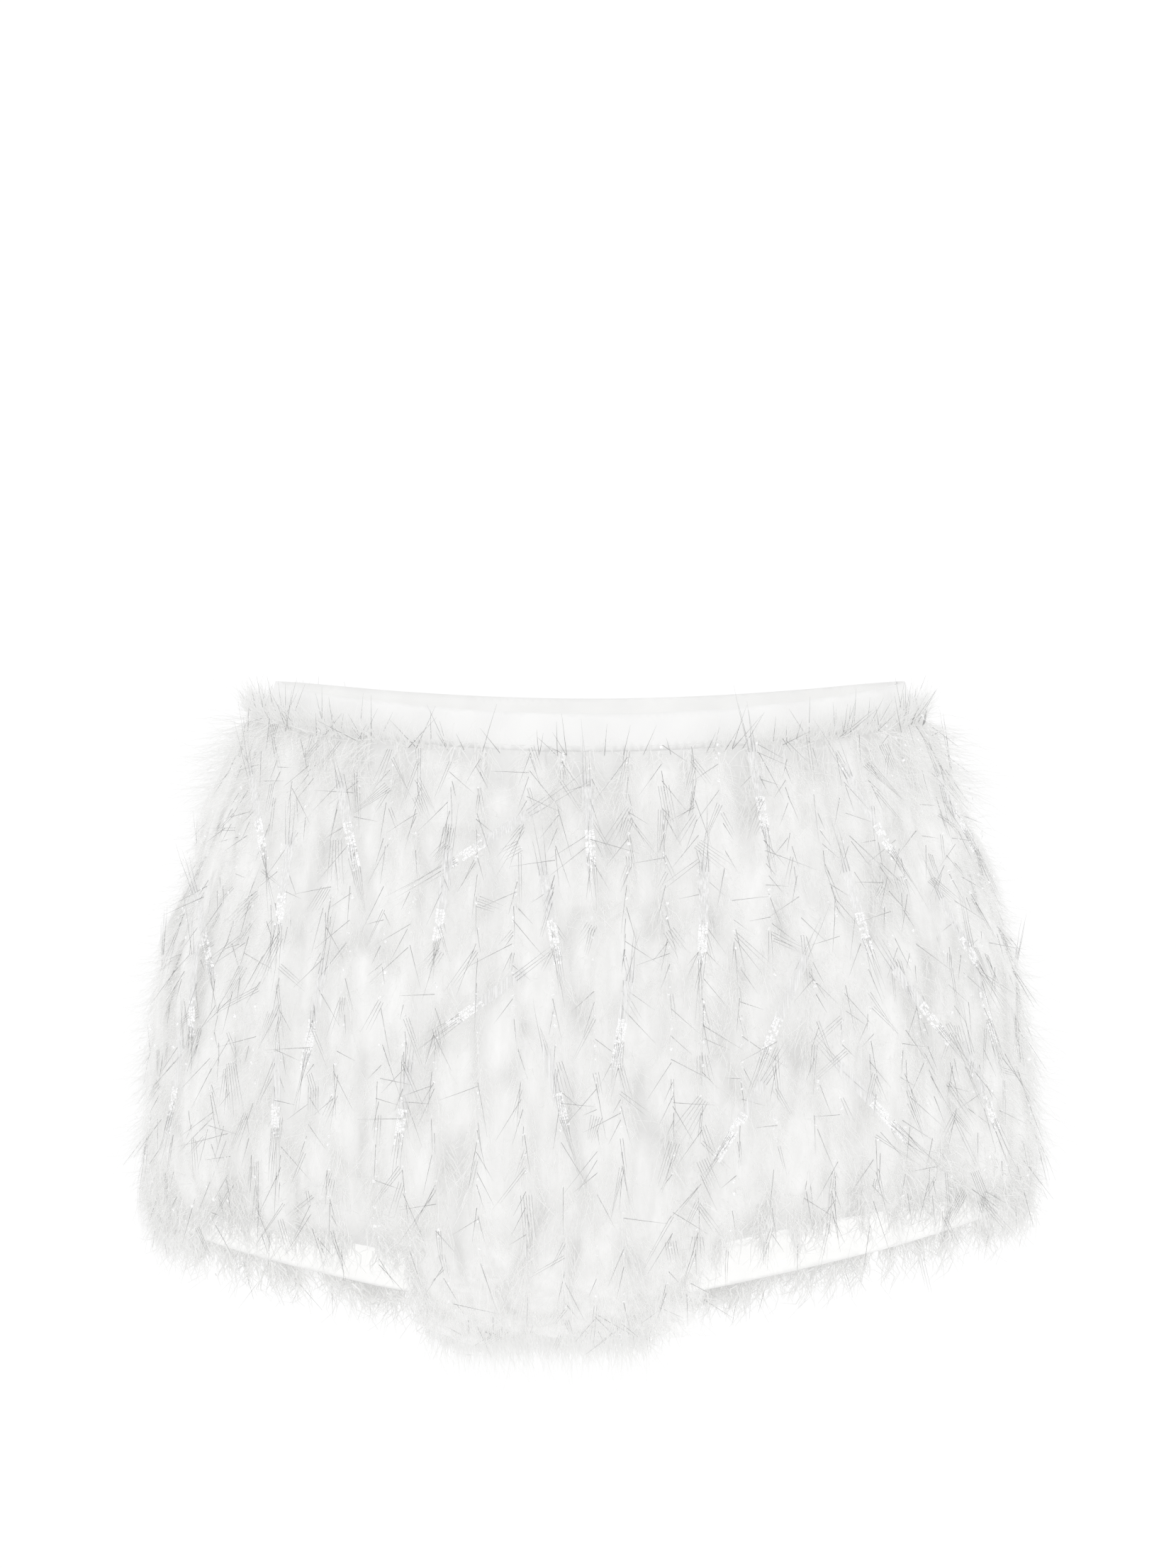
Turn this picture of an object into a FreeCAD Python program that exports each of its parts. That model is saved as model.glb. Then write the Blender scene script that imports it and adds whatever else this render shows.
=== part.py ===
"""Feather fringe mini shorts, held open at the waist as they are when worn.

Millimetres. +X is the wearer's left, -Y the front, +Z up. The origin is the centre of the waist
opening. Every cloth layer is cut from the same stack of ellipses, moved in or out by its own depth.
"""
import FreeCAD, Part
import math
import os

from FreeCAD import Placement, Rotation, Vector

doc = FreeCAD.newDocument("fringe_shorts")

# Driving dimensions: alias, value, what it is.
SIZES = [
    ("half_width_top", 143, "waist ring"),
    ("half_depth_top", 72, "waist ring"),
    ("height_top", 14, "waist ring, above the cut edge"),
    ("drop_top", 0, "share of a layer's offset that moves this ring down"),
    ("half_width_hip", 190, "hip ring"),
    ("half_depth_hip", 97, "hip ring"),
    ("height_hip", -130, "hip ring"),
    ("drop_hip", 0, "share of the offset"),
    ("half_width_seat", 196, "widest ring"),
    ("half_depth_seat", 100, "widest ring"),
    ("height_seat", -200, "widest ring"),
    ("drop_seat", 0, "share of the offset"),
    ("half_width_thigh", 193, "top of the thighs"),
    ("half_depth_thigh", 95, "top of the thighs"),
    ("height_thigh", -235, "top of the thighs"),
    ("drop_thigh", 0.2, "share of the offset"),
    ("half_width_under", 186, "underside begins to close"),
    ("half_depth_under", 84, "underside begins to close"),
    ("height_under", -258, "underside begins to close"),
    ("drop_under", 0.5, "share of the offset"),
    ("half_width_curve", 178, "underside curve"),
    ("half_depth_curve", 62, "underside curve"),
    ("height_curve", -274, "underside curve"),
    ("drop_curve", 0.85, "share of the offset"),
    ("half_width_base", 168, "flat of the crotch"),
    ("half_depth_base", 34, "flat of the crotch"),
    ("height_base", -284, "flat of the crotch"),
    ("drop_base", 1, "share of the offset"),
    ("fabric_thickness", 1.0, "outer cloth"),
    ("layer_gap", 0.3, "air between two cloth layers"),
    ("lining_thickness", 0.8, "lining, facings and zip tapes"),
    ("fringe_gap", 0.4, "air between the cloth and its fringe"),
    ("fringe_depth", 22, "how far the fringe stands out"),
    ("label_gap", 0.4, "air between the lining and the label"),
    ("label_thickness", 0.6, "care label"),
    ("label_half_width", 15, "care label"),
    ("label_height", 36, "care label"),
    ("label_top", -148, "care label's upper edge"),
    ("crotch_shift", -20, "crotch seam's place across the body"),
    ("strip_half_width", 40, "half the cloth between the leg openings"),
    ("leg_radius", 150, "curve of the leg opening's inner edge"),
    ("leg_depth", 160, "depth of the leg cut"),
    ("leg_roll", 13, "degrees the hem rises outwards"),
    ("leg_pitch", 11, "degrees the hem falls to the back"),
    ("hem_inner_height", -272, "hem plane at the crotch strip"),
    ("hem_facing_width", 20, "hem facing"),
    ("hem_fringe_up", 30, "hem fringe above the hem"),
    ("hem_fringe_down", 18, "hem fringe below the hem"),
    ("hem_fringe_in", 12, "hem fringe beside the crotch strip"),
    ("fringe_split_height", -118, "where the upper fringe ends"),
    ("fringe_over_band", 4, "fringe standing over the waistband seam"),
    ("waist_curve_radius", 950, "waist edge dips at the centre"),
    ("waist_slope", 3.2, "degrees the waist edge rises to the back"),
    ("waist_height", -2, "waist edge at the centre"),
    ("band_height", 17, "waistband"),
    ("cutter_length", 400, "long enough to pass through the whole garment"),
    ("zip_top_drop", 14, "zip frame origin below the waist ring, along the seam"),
    ("zip_length", 117, "coil rows"),
    ("zip_cloth_half_gap", 5, "cloth edge from the zip's middle"),
    ("zip_lining_half_gap", 13.3, "lining edge from the zip's middle"),
    ("zip_fringe_half_gap", 9, "fringe edge from the zip's middle"),
    ("slot_rise", 40, "zip channels above the zip frame's origin"),
    ("cloth_slot_below", 4, "cloth channel below the coil rows"),
    ("lining_slot_below", 6, "lining channel below the coil rows"),
    ("fringe_slot_below", 22, "fringe channel below the coil rows, which clears the pull"),
    ("slot_inside", -20, "zip channels inside the cloth"),
    ("slot_outside", 5, "cloth and lining channels outside the cloth"),
    ("fringe_slot_outside", 60, "fringe channel outside the cloth"),
    ("coil_inner", 0.6, "coil row from the zip's middle"),
    ("coil_width", 2.0, "coil row"),
    ("coil_low", -2.35, "coil row's inner face"),
    ("coil_thickness", 1.5, "coil row"),
    ("tape_half_width", 13, "tape's outer edge from the zip's middle"),
    ("tape_zone_half", 10, "half the depth searched for the tape's layer"),
    ("stop_length", 2.5, "top and bottom stops"),
    ("stop_thickness", 2.1, "top and bottom stops"),
    ("stop_middle", -1.6, "middle of the stops, inside the cloth"),
    ("slider_length", 11, "slider"),
    ("slider_half_top", 4.3, "slider's half width at its top"),
    ("slider_half_low", 3.8, "slider's half width at its foot"),
    ("slider_low", -3.5, "slider's inner face"),
    ("slider_thickness", 3.9, "slider"),
    ("slider_drop", 3.3, "slider's top below the top of the coils"),
    ("channel_half_width", 3.0, "channel for one coil row"),
    ("channel_low", -2.6, "channel's inner face"),
    ("channel_high", -0.6, "channel's outer face"),
    ("slot_low", -2.45, "tape slot's inner face"),
    ("slot_high", -0.95, "tape slot's outer face"),
    ("web_half_width", 0.3, "web between the coil rows"),
    ("pivot_drop", 4.5, "pull pivot below the slider's top"),
    ("pivot_out", 1.9, "pull pivot outside the cloth"),
    ("lug_radius", 1.5, "lug that holds the pull"),
    ("lug_thickness", 1.6, "lug that holds the pull"),
    ("lug_hole_radius", 0.8, "hole for the pull's bar"),
    ("pull_bar_radius", 0.6, "the pull's bar"),
    ("pull_length", 24, "pull below its pivot"),
    ("pull_head", 0.9, "pull above its pivot"),
    ("pull_half_width", 2.5, "pull"),
    ("pull_thickness", 1.0, "pull"),
    ("pull_window_half", 1.2, "window around the lug"),
    ("pull_window_length", 2.9, "window around the lug"),
    ("hook_wire", 0.35, "radius of the hook and eye wire"),
    ("hook_bend", 1.5, "hook's bend"),
    ("eye_bend", 2.2, "eye's ring"),
    ("sewing_ring", 1.2, "rings that the hook and eye are sewn by"),
    ("hook_leg", 6.0, "straight legs of the hook and eye"),
    ("hook_depth", -3.7, "hook inside the cloth"),
    ("eye_depth", -4.7, "eye inside the cloth"),
    ("hook_rise", 3.2, "hook and eye above the zip frame's origin"),
    ("strip_width", 5.5, "woven silver strip"),
    ("strip_length", 34, "woven silver strip"),
    ("strip_thickness", 0.6, "woven silver strip"),
    ("strip_clearance", 0.5, "woven silver strip outside the fringe"),
]

sheet = doc.addObject("Spreadsheet::Sheet", "Sizes")
for row, (alias, number, note) in enumerate(SIZES, start=1):
    sheet.set(f"A{row}", note)
    sheet.set(f"B{row}", str(number))
    sheet.setAlias(f"B{row}", alias)
doc.recompute()


def size(alias):
    """The number in one cell of the sheet."""
    return float(getattr(sheet, alias))


def bind(item, **sizes):
    """Tie an object's properties to the sheet; a double underscore stands for a dot."""
    for key, expression in sizes.items():
        item.setExpression(key.replace("__", "."), expression)
    return item


def new(kind, name, **sizes):
    return bind(doc.addObject(kind, name), **sizes)


def cut(name, base, *tools):
    """The base with each tool taken away in turn."""
    for count, tool in enumerate(tools):
        step = doc.addObject("Part::Cut", f"{name}_{count}")
        step.Base = base
        step.Tool = tool
        step.Refine = False
        base = step
    return base


def common(name, *shapes):
    shared = doc.addObject("Part::MultiCommon", name)
    shared.Shapes = list(shapes)
    shared.Refine = False
    return shared


def fuse(name, *shapes):
    joined = doc.addObject("Part::MultiFuse", name)
    joined.Shapes = list(shapes)
    return joined


parts = []


def part(label, item):
    """Name a finished sub-part; its label is its file's name."""
    item.Label = label
    parts.append(item)
    return item


# The body's shape: seven ellipses, joined by straight sides.
LEVELS = ("top", "hip", "seat", "thigh", "under", "curve", "base")


def skin(name, offset):
    """A closed solid of the garment's shape, moved outwards by an offset."""
    rings = []
    for level in LEVELS:
        rings.append(new(
            "Part::Ellipse", f"{name}_{level}",
            MajorRadius=f"Sizes.half_width_{level} + ({offset})",
            MinorRadius=f"Sizes.half_depth_{level} + ({offset})",
            Placement__Base__z=f"Sizes.height_{level} - ({offset}) * Sizes.drop_{level}",
        ))
    solid = doc.addObject("Part::Loft", name)
    solid.Sections = rings
    solid.Solid = True
    solid.Ruled = True
    return solid


CLOTH_IN = "-Sizes.fabric_thickness"
LINING_OUT = f"{CLOTH_IN} - Sizes.layer_gap"
LINING_IN = f"{LINING_OUT} - Sizes.lining_thickness"
LABEL_OUT = f"{LINING_IN} - Sizes.label_gap"
LABEL_IN = f"{LABEL_OUT} - Sizes.label_thickness"

cloth = cut("cloth", skin("cloth_outer", "0"), skin("cloth_inner", CLOTH_IN))
lining = cut("lining", skin("lining_outer", LINING_OUT), skin("lining_inner", LINING_IN))
fringe_outer = skin("fringe_outer", "Sizes.fringe_depth")
fringe = cut("fringe", fringe_outer, skin("fringe_inner", "Sizes.fringe_gap"))
label_layer = cut("label_layer", skin("label_outer", LABEL_OUT), skin("label_inner", LABEL_IN))


# The waist edge: a very large cylinder lying front to back, lower at the front.
def above_waist(name, lift):
    """Everything above the waist edge's curve, moved up by a lift in millimetres."""
    tool = new("Part::Cylinder", name, Radius="Sizes.waist_curve_radius", Height="Sizes.cutter_length")
    slope = size("waist_slope")
    along = Vector(0, math.cos(math.radians(slope)), math.sin(math.radians(slope)))
    middle = Vector(0, 0, size("waist_curve_radius") + size("waist_height") + lift)
    back_end = middle - along * (size("cutter_length") / 2)
    tool.Placement = Placement(back_end, Rotation(Vector(1, 0, 0), slope - 90))
    return tool


over_edge = above_waist("over_edge", 0)
over_seam = above_waist("over_seam", -size("band_height"))
over_fringe = above_waist("over_fringe", size("fringe_over_band") - size("band_height"))


# The leg openings: one tilted cylinder each; its flat top is the hem's plane.
def leg_cut(name, side, raise_by, widen_by):
    """What is cut away for one leg. side is +1 for the wearer's left leg and -1 for the right."""
    tool = new("Part::Cylinder", name, Radius=f"Sizes.leg_radius + {widen_by}", Height="Sizes.leg_depth")
    roll = Rotation(Vector(0, 1, 0), -side * size("leg_roll"))
    pitch = Rotation(Vector(1, 0, 0), -size("leg_pitch"))
    turn = roll.multiply(pitch)
    reach = size("strip_half_width") + size("leg_radius")
    rise = size("leg_radius") * math.tan(math.radians(size("leg_roll")))
    centre = Vector(size("crotch_shift") + side * reach, 0, size("hem_inner_height") + rise + raise_by)
    tool.Placement = Placement(centre - turn.multVec(Vector(0, 0, size("leg_depth"))), turn)
    return tool


SIDES = {"right": -1, "left": 1}


def leg_pair(name, raise_by, widen_by):
    return [leg_cut(f"{name}_{word}", side, raise_by, widen_by) for word, side in SIDES.items()]


legs = leg_pair("leg", 0, 0)
legs_facing = leg_pair("leg_facing", size("hem_facing_width"), size("hem_facing_width"))
legs_fringe_top = leg_pair("leg_fringe_top", size("hem_fringe_up"), size("hem_fringe_in"))
legs_fringe = leg_pair("leg_fringe", -size("hem_fringe_down"), -size("hem_fringe_in"))

# Quarters: the side seams and inseam lie at y = 0, the centre seams at the crotch shift.
SPAN = "Sizes.cutter_length"


def block(name, x_low, y_low, z_low, length, width, height):
    """A plain box whose corner and sides are expressions of the sheet."""
    return new("Part::Box", name, Length=length, Width=width, Height=height,
               Placement__Base__x=x_low, Placement__Base__y=y_low, Placement__Base__z=z_low)


TWO_SPANS = f"2 * {SPAN}"
FACES = {"front": f"-{SPAN}", "back": "0"}
ACROSS = {"right": f"Sizes.crotch_shift - {SPAN}", "left": "Sizes.crotch_shift"}
halves = {}
quarters = {}
for face, y_low in FACES.items():
    halves[face] = block(f"half_{face}", f"-{SPAN}", y_low, f"-{SPAN}", TWO_SPANS, SPAN, TWO_SPANS)
    for word, x_low in ACROSS.items():
        quarters[face, word] = block(f"quarter_{face}_{word}", x_low, y_low, f"-{SPAN}",
                                     SPAN, SPAN, TWO_SPANS)

# The zip's frame: x along the garment's depth, y up the seam, z straight out of the cloth.
seam_run = size("half_width_hip") - size("half_width_top")
seam_fall = size("height_top") - size("height_hip")
lean = math.atan2(seam_run, seam_fall)
up_seam = Vector(-math.sin(lean), 0, math.cos(lean))
out_of_cloth = Vector(math.cos(lean), 0, math.sin(lean))
waist_corner = Vector(size("half_width_top"), 0, size("height_top"))
zip_frame = Placement(waist_corner - up_seam * size("zip_top_drop"),
                      Rotation(Vector(0, 1, 0), up_seam, out_of_cloth, "XYZ"))


def in_zip_frame(label, item):
    """Place a finished piece of the zip, which is drawn about its own frame's origin."""
    item.Placement = zip_frame.multiply(item.Placement)
    return part(label, item)


def zip_slot(layer, outside):
    """A straight channel along the zip, cut from a layer, out to a size in the sheet."""
    slot = new("Part::Box", f"{layer}_slot", Length=f"2 * Sizes.zip_{layer}_half_gap",
               Width=f"Sizes.zip_length + Sizes.{layer}_slot_below + Sizes.slot_rise",
               Height=f"Sizes.{outside} - Sizes.slot_inside")
    foot = -size("zip_length") - size(f"{layer}_slot_below")
    corner = Vector(-size(f"zip_{layer}_half_gap"), foot, size("slot_inside"))
    slot.Placement = zip_frame.multiply(Placement(corner, Rotation()))
    return slot


cloth_slot = zip_slot("cloth", "slot_outside")
lining_slot = zip_slot("lining", "slot_outside")
fringe_slot = zip_slot("fringe", "fringe_slot_outside")

# Waistband: an outer cloth and a facing, front and back.
band = cut("band", common("band_zone", cloth, over_seam), over_edge, cloth_slot)
facing = cut("facing", common("facing_zone", lining, over_seam), over_edge, lining_slot)
for face, half in halves.items():
    part(f"waistband_{face}", common(f"band_{face}", band, half))
    part(f"waist_facing_{face}", common(f"facing_{face}", facing, half))

# Four outer panels, their lining and the hem facings.
panel = cut("panel", cloth, over_seam, *legs, cloth_slot)
lining_panel = cut("lining_panel", lining, over_seam, *legs_facing, lining_slot)
for (face, word), quarter in quarters.items():
    part(f"panel_{face}_{word}", common(f"outer_{face}_{word}", panel, quarter))
    part(f"lining_{face}_{word}", common(f"inner_{face}_{word}", lining_panel, quarter))

for leg, leg_facing, word in zip(legs, legs_facing, SIDES):
    hem_ring = cut(f"hem_ring_{word}", common(f"hem_zone_{word}", lining, leg_facing), leg)
    for face in FACES:
        hem_quarter = common(f"hem_{face}_{word}", hem_ring, quarters[face, word])
        part(f"hem_facing_{face}_{word}", hem_quarter)

# The fringe in bands: upper, lower, and a denser one along each hem.
fringe_body = cut("fringe_body", fringe, over_fringe, fringe_slot)
upper_zone = block("upper_zone", f"-{SPAN}", f"-{SPAN}", "Sizes.fringe_split_height",
                   TWO_SPANS, TWO_SPANS, SPAN)
fringe_upper = common("fringe_upper", fringe_body, upper_zone)
fringe_lower = cut("fringe_lower", fringe_body, upper_zone, *legs_fringe_top)
for (face, word), quarter in quarters.items():
    part(f"fringe_upper_{face}_{word}", common(f"upper_{face}_{word}", fringe_upper, quarter))
    part(f"fringe_lower_{face}_{word}", common(f"lower_{face}_{word}", fringe_lower, quarter))

for leg_top, leg_end, word in zip(legs_fringe_top, legs_fringe, SIDES):
    hem_band = cut(f"fringe_hem_{word}", common(f"fringe_zone_{word}", fringe, leg_top), leg_end)
    for face in FACES:
        hem_quarter = common(f"hemfringe_{face}_{word}", hem_band, quarters[face, word])
        part(f"fringe_hem_{face}_{word}", hem_quarter)

# Care label, sewn into the wearer's right side seam.
label_foot = "Sizes.label_top - Sizes.label_height"
label_zone = block("label_zone", f"-{SPAN}", "-Sizes.label_half_width", label_foot,
                   SPAN, "2 * Sizes.label_half_width", "Sizes.label_height")
part("care_label", common("label", label_layer, label_zone))


# Woven silver strips, scattered over the outside of the fringe in staggered rows.
def ring_at(height):
    """Half width and half depth of the fringe's outside at a height."""
    for upper, lower in zip(LEVELS, LEVELS[1:]):
        top, bottom = size(f"height_{upper}"), size(f"height_{lower}")
        if bottom <= height <= top:
            share = (top - height) / (top - bottom)
            grow = size("fringe_depth") + size("strip_clearance") + size("strip_thickness")
            width = size(f"half_width_{upper}") * (1 - share) + size(f"half_width_{lower}") * share
            depth = size(f"half_depth_{upper}") * (1 - share) + size(f"half_depth_{lower}") * share
            return width + grow, depth + grow
    raise ValueError("height is outside the garment")


def strip_place(angle, height, twist):
    """A frame on the fringe's outside: x across, y up, z into the cloth's outside."""
    width, depth = ring_at(height)
    higher_width, higher_depth = ring_at(height + 1)
    spot = Vector(width * math.cos(angle), depth * math.sin(angle), height)
    above = Vector(higher_width * math.cos(angle), higher_depth * math.sin(angle), height + 1)
    up = (above - spot).normalize()
    along = Vector(-width * math.sin(angle), depth * math.cos(angle), 0).normalize()
    out = along.cross(up).normalize()
    frame = Placement(spot, Rotation(along, up, out, "XYZ"))
    return frame.multiply(Placement(Vector(), Rotation(Vector(0, 0, 1), twist)))


STRIP_ROWS = (-58, -98, -140, -182)
STRIPS_PER_ROW = 9
STRIP_TWISTS = (-12, 9, -4, 15, 3, -9, 6)
for face, start in (("front", math.pi), ("back", 0.0)):
    strips = []
    for row, height in enumerate(STRIP_ROWS):
        for place in range(STRIPS_PER_ROW):
            stagger = 0.35 if row % 2 else 0.65
            angle = start + math.pi * (place + stagger) / STRIPS_PER_ROW
            twist = STRIP_TWISTS[(3 * row + 2 * place) % len(STRIP_TWISTS)]
            strip = new("Part::Box", f"strip_{face}_{row}_{place}", Length="Sizes.strip_width",
                        Width="Sizes.strip_length", Height="Sizes.strip_thickness")
            corner = Vector(-size("strip_width") / 2, -size("strip_length") / 2, 0)
            strip.Placement = strip_place(angle, height, twist).multiply(Placement(corner, Rotation()))
            strips.append(strip)
    group = doc.addObject("Part::Compound", f"strips_{face}")
    group.Links = strips
    part(f"silver_strips_{face}", group)

# Zip: two tapes in the lining's layer, two coil rows and their stops.
DEPTH_SIDES = {"front": -1, "back": 1}
coil_reach = size("coil_inner") + size("coil_width")
zip_foot = -size("zip_length") - size("stop_length")
for face, side in DEPTH_SIDES.items():
    tape_zone = new("Part::Box", f"tape_zone_{face}",
                    Length="Sizes.tape_half_width - Sizes.coil_inner - Sizes.coil_width",
                    Width="Sizes.zip_length + 2 * Sizes.stop_length", Height="2 * Sizes.tape_zone_half")
    tape_start = coil_reach if side > 0 else -size("tape_half_width")
    tape_corner = Vector(tape_start, zip_foot, -size("tape_zone_half"))
    tape_zone.Placement = zip_frame.multiply(Placement(tape_corner, Rotation()))
    tape_whole = common(f"tape_whole_{face}", lining, tape_zone)
    part(f"zip_tape_{face}", cut(f"tape_{face}", tape_whole, over_edge))
    coil = new("Part::Box", f"coil_{face}", Length="Sizes.coil_width", Width="Sizes.zip_length",
               Height="Sizes.coil_thickness")
    coil_start = size("coil_inner") if side > 0 else -coil_reach
    coil.Placement = Placement(Vector(coil_start, -size("zip_length"), size("coil_low")), Rotation())
    in_zip_frame(f"zip_coil_{face}", coil)


def stop(name, low, start, width):
    piece = new("Part::Box", name, Length=width, Width="Sizes.stop_length", Height="Sizes.stop_thickness")
    inner = size("stop_middle") - size("stop_thickness") / 2
    piece.Placement = Placement(Vector(start, low, inner), Rotation())
    return piece


top_stops = doc.addObject("Part::Compound", "top_stops")
top_stops.Links = [stop("top_stop_front", 0, -coil_reach, "Sizes.coil_width"),
                   stop("top_stop_back", 0, size("coil_inner"), "Sizes.coil_width")]
in_zip_frame("zip_top_stops", top_stops)
both_rows = "2 * (Sizes.coil_inner + Sizes.coil_width)"
in_zip_frame("zip_bottom_stop", stop("bottom_stop", zip_foot, -coil_reach, both_rows))


# The slider and its pull are drawn as sketches, in the zip's frame.
def plane(body, role):
    return next(item for item in body.Origin.OriginFeatures if item.Role == role)


def sketch(body, name, role, shift):
    """A sketch on one of the body's own planes, moved along that plane's normal."""
    drawing = body.newObject("Sketcher::SketchObject", name)
    drawing.AttachmentSupport = [(plane(body, role), "")]
    drawing.MapMode = "FlatFace"
    drawing.AttachmentOffset = Placement(Vector(0, 0, shift), Rotation())
    return drawing


def line(drawing, start, end):
    drawing.addGeometry(Part.LineSegment(Vector(*start, 0), Vector(*end, 0)), False)


def outline(drawing, points):
    """A closed run of straight lines through the points."""
    for start, end in zip(points, points[1:] + points[:1]):
        line(drawing, start, end)


def circle(drawing, centre, radius):
    drawing.addGeometry(Part.Circle(Vector(*centre, 0), Vector(0, 0, 1), radius), False)


def pad(body, name, drawing, length):
    feature = body.newObject("PartDesign::Pad", name)
    feature.Profile = drawing
    bind(feature, Length=length)
    doc.recompute()
    return feature


slider = doc.addObject("PartDesign::Body", "slider")
slider_top = -size("slider_drop")
slider_foot = slider_top - size("slider_length")
shell_sketch = sketch(slider, "slider_outline", "XY_Plane", size("slider_low"))
outline(shell_sketch, [
    (-size("slider_half_top"), slider_top), (size("slider_half_top"), slider_top),
    (size("slider_half_low"), slider_foot), (-size("slider_half_low"), slider_foot),
])
pad(slider, "slider_block", shell_sketch, "Sizes.slider_thickness")

pivot_up = slider_top - size("pivot_drop")
pivot_out = size("pivot_out")
cloth_face = size("slider_low") + size("slider_thickness")
lug_sketch = sketch(slider, "lug_outline", "YZ_Plane", -size("lug_thickness") / 2)
lug = size("lug_radius")
foot_low, foot_high = pivot_up - lug, pivot_up + lug
line(lug_sketch, (foot_low, cloth_face), (foot_high, cloth_face))
line(lug_sketch, (foot_high, cloth_face), (foot_high, pivot_out))
lug_sketch.addGeometry(Part.Arc(Vector(foot_high, pivot_out, 0), Vector(pivot_up, pivot_out + lug, 0),
                                Vector(foot_low, pivot_out, 0)), False)
line(lug_sketch, (foot_low, pivot_out), (foot_low, cloth_face))
circle(lug_sketch, (pivot_up, pivot_out), size("lug_hole_radius"))
pad(slider, "slider_lug", lug_sketch, "Sizes.lug_thickness")

before_channel = slider.Shape.Volume
channel_sketch = sketch(slider, "channel_outline", "XZ_Plane", 0)
far = size("slider_half_top") + 1
for side in (-1, 1):
    outline(channel_sketch, [(side * across, out) for across, out in [
        (size("web_half_width"), size("channel_low")), (size("channel_half_width"), size("channel_low")),
        (size("channel_half_width"), size("slot_low")), (far, size("slot_low")),
        (far, size("slot_high")), (size("channel_half_width"), size("slot_high")),
        (size("channel_half_width"), size("channel_high")), (size("web_half_width"), size("channel_high")),
    ]])
channel = slider.newObject("PartDesign::Pocket", "slider_channel")
channel.Profile = channel_sketch
bind(channel, Length="Sizes.slider_length + Sizes.slider_drop + 1")
doc.recompute()
if slider.Shape.Volume > before_channel - 1:
    channel.Reversed = True
    doc.recompute()
print("slider volume", round(before_channel, 1), "->", round(slider.Shape.Volume, 1))
in_zip_frame("zip_slider", slider)

pull = doc.addObject("PartDesign::Body", "pull")
strap_sketch = sketch(pull, "strap_outline", "XY_Plane", pivot_out - size("pull_thickness") / 2)
pull_half = size("pull_half_width")
head, tail = pivot_up + size("pull_head"), pivot_up - size("pull_length") + pull_half
line(strap_sketch, (-pull_half, tail), (-pull_half, head))
line(strap_sketch, (-pull_half, head), (pull_half, head))
line(strap_sketch, (pull_half, head), (pull_half, tail))
strap_sketch.addGeometry(Part.Arc(Vector(pull_half, tail, 0), Vector(0, tail - pull_half, 0),
                                  Vector(-pull_half, tail, 0)), False)
pad(pull, "pull_strap", strap_sketch, "Sizes.pull_thickness")

before_window = pull.Shape.Volume
window_sketch = sketch(pull, "window_outline", "XY_Plane", pivot_out - size("pull_thickness") / 2)
window = size("pull_window_half")
window_low = pivot_up - size("pull_window_length")
window_high = head + 1
outline(window_sketch, [(-window, window_high), (window, window_high),
                        (window, window_low), (-window, window_low)])
opening = pull.newObject("PartDesign::Pocket", "pull_window")
opening.Profile = window_sketch
opening.Reversed = True
bind(opening, Length="2 * Sizes.pull_thickness")
doc.recompute()
print("pull volume", round(before_window, 1), "->", round(pull.Shape.Volume, 1))

bar_sketch = sketch(pull, "bar_outline", "YZ_Plane", -pull_half)
circle(bar_sketch, (pivot_up, pivot_out), size("pull_bar_radius"))
pad(pull, "pull_bar", bar_sketch, "2 * Sizes.pull_half_width")
in_zip_frame("zip_pull", pull)


# Hook and eye inside the top of the side opening.
def wire_fastener(label, side, bend, depth):
    """Two sewing rings, two straight legs and a round end, flat against the facing."""
    radius = size(bend)
    rise, inwards = size("hook_rise"), size(depth)
    end = new("Part::Torus", f"{label}_end", Radius1=f"Sizes.{bend}", Radius2="Sizes.hook_wire")
    end.Angle3 = 180
    end.Placement = Placement(Vector(-side, rise, inwards), Rotation(Vector(0, 0, 1), 90 * side))
    pieces = [end]
    for level in (-1, 1):
        leg = new("Part::Cylinder", f"{label}_leg_{level + 1}",
                  Radius="Sizes.hook_wire", Height="Sizes.hook_leg")
        start = -side if side > 0 else -side - size("hook_leg")
        foot = Vector(start, rise + level * radius, inwards)
        leg.Placement = Placement(foot, Rotation(Vector(0, 1, 0), 90))
        ring = new("Part::Torus", f"{label}_ring_{level + 1}",
                   Radius1="Sizes.sewing_ring", Radius2="Sizes.hook_wire")
        outer = -side + side * (size("hook_leg") - size("sewing_ring") / 2)
        aside = radius + size("sewing_ring") - size("hook_wire") / 2
        ring.Placement = Placement(Vector(outer, rise + level * aside, inwards), Rotation())
        pieces += [leg, ring]
    return in_zip_frame(label, fuse(f"{label}_wire", *pieces))


wire_fastener("waist_hook", -1, "hook_bend", "hook_depth")
wire_fastener("waist_eye", 1, "eye_bend", "eye_depth")

doc.recompute()

# Every feature must have worked before anything is written.
faults = [item.Name for item in doc.Objects if "Invalid" in item.State or "Error" in item.State]
for item in parts:
    if item.Shape.isNull() or not item.Shape.isValid() or not item.Shape.Solids:
        faults.append(item.Label)
if faults:
    raise RuntimeError(f"faulty features: {faults}")

os.makedirs("parts", exist_ok=True)
for item in parts:
    item.Shape.exportStep(os.path.join("parts", f"{item.Label}.step"))
    print(f"{item.Label:28s} solids {len(item.Shape.Solids):3d}  volume {item.Shape.Volume:12.1f} mm3")

pivot = zip_frame.multVec(Vector(0, pivot_up, pivot_out))
travel = size("zip_length") - size("slider_drop") - size("slider_length")
print("parts", len(parts))
print("zip direction, downwards", [round(v, 5) for v in -up_seam])
print("pull pivot in metres", [round(v / 1000, 6) for v in pivot], "zip travel", round(travel, 2), "mm")
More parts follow.
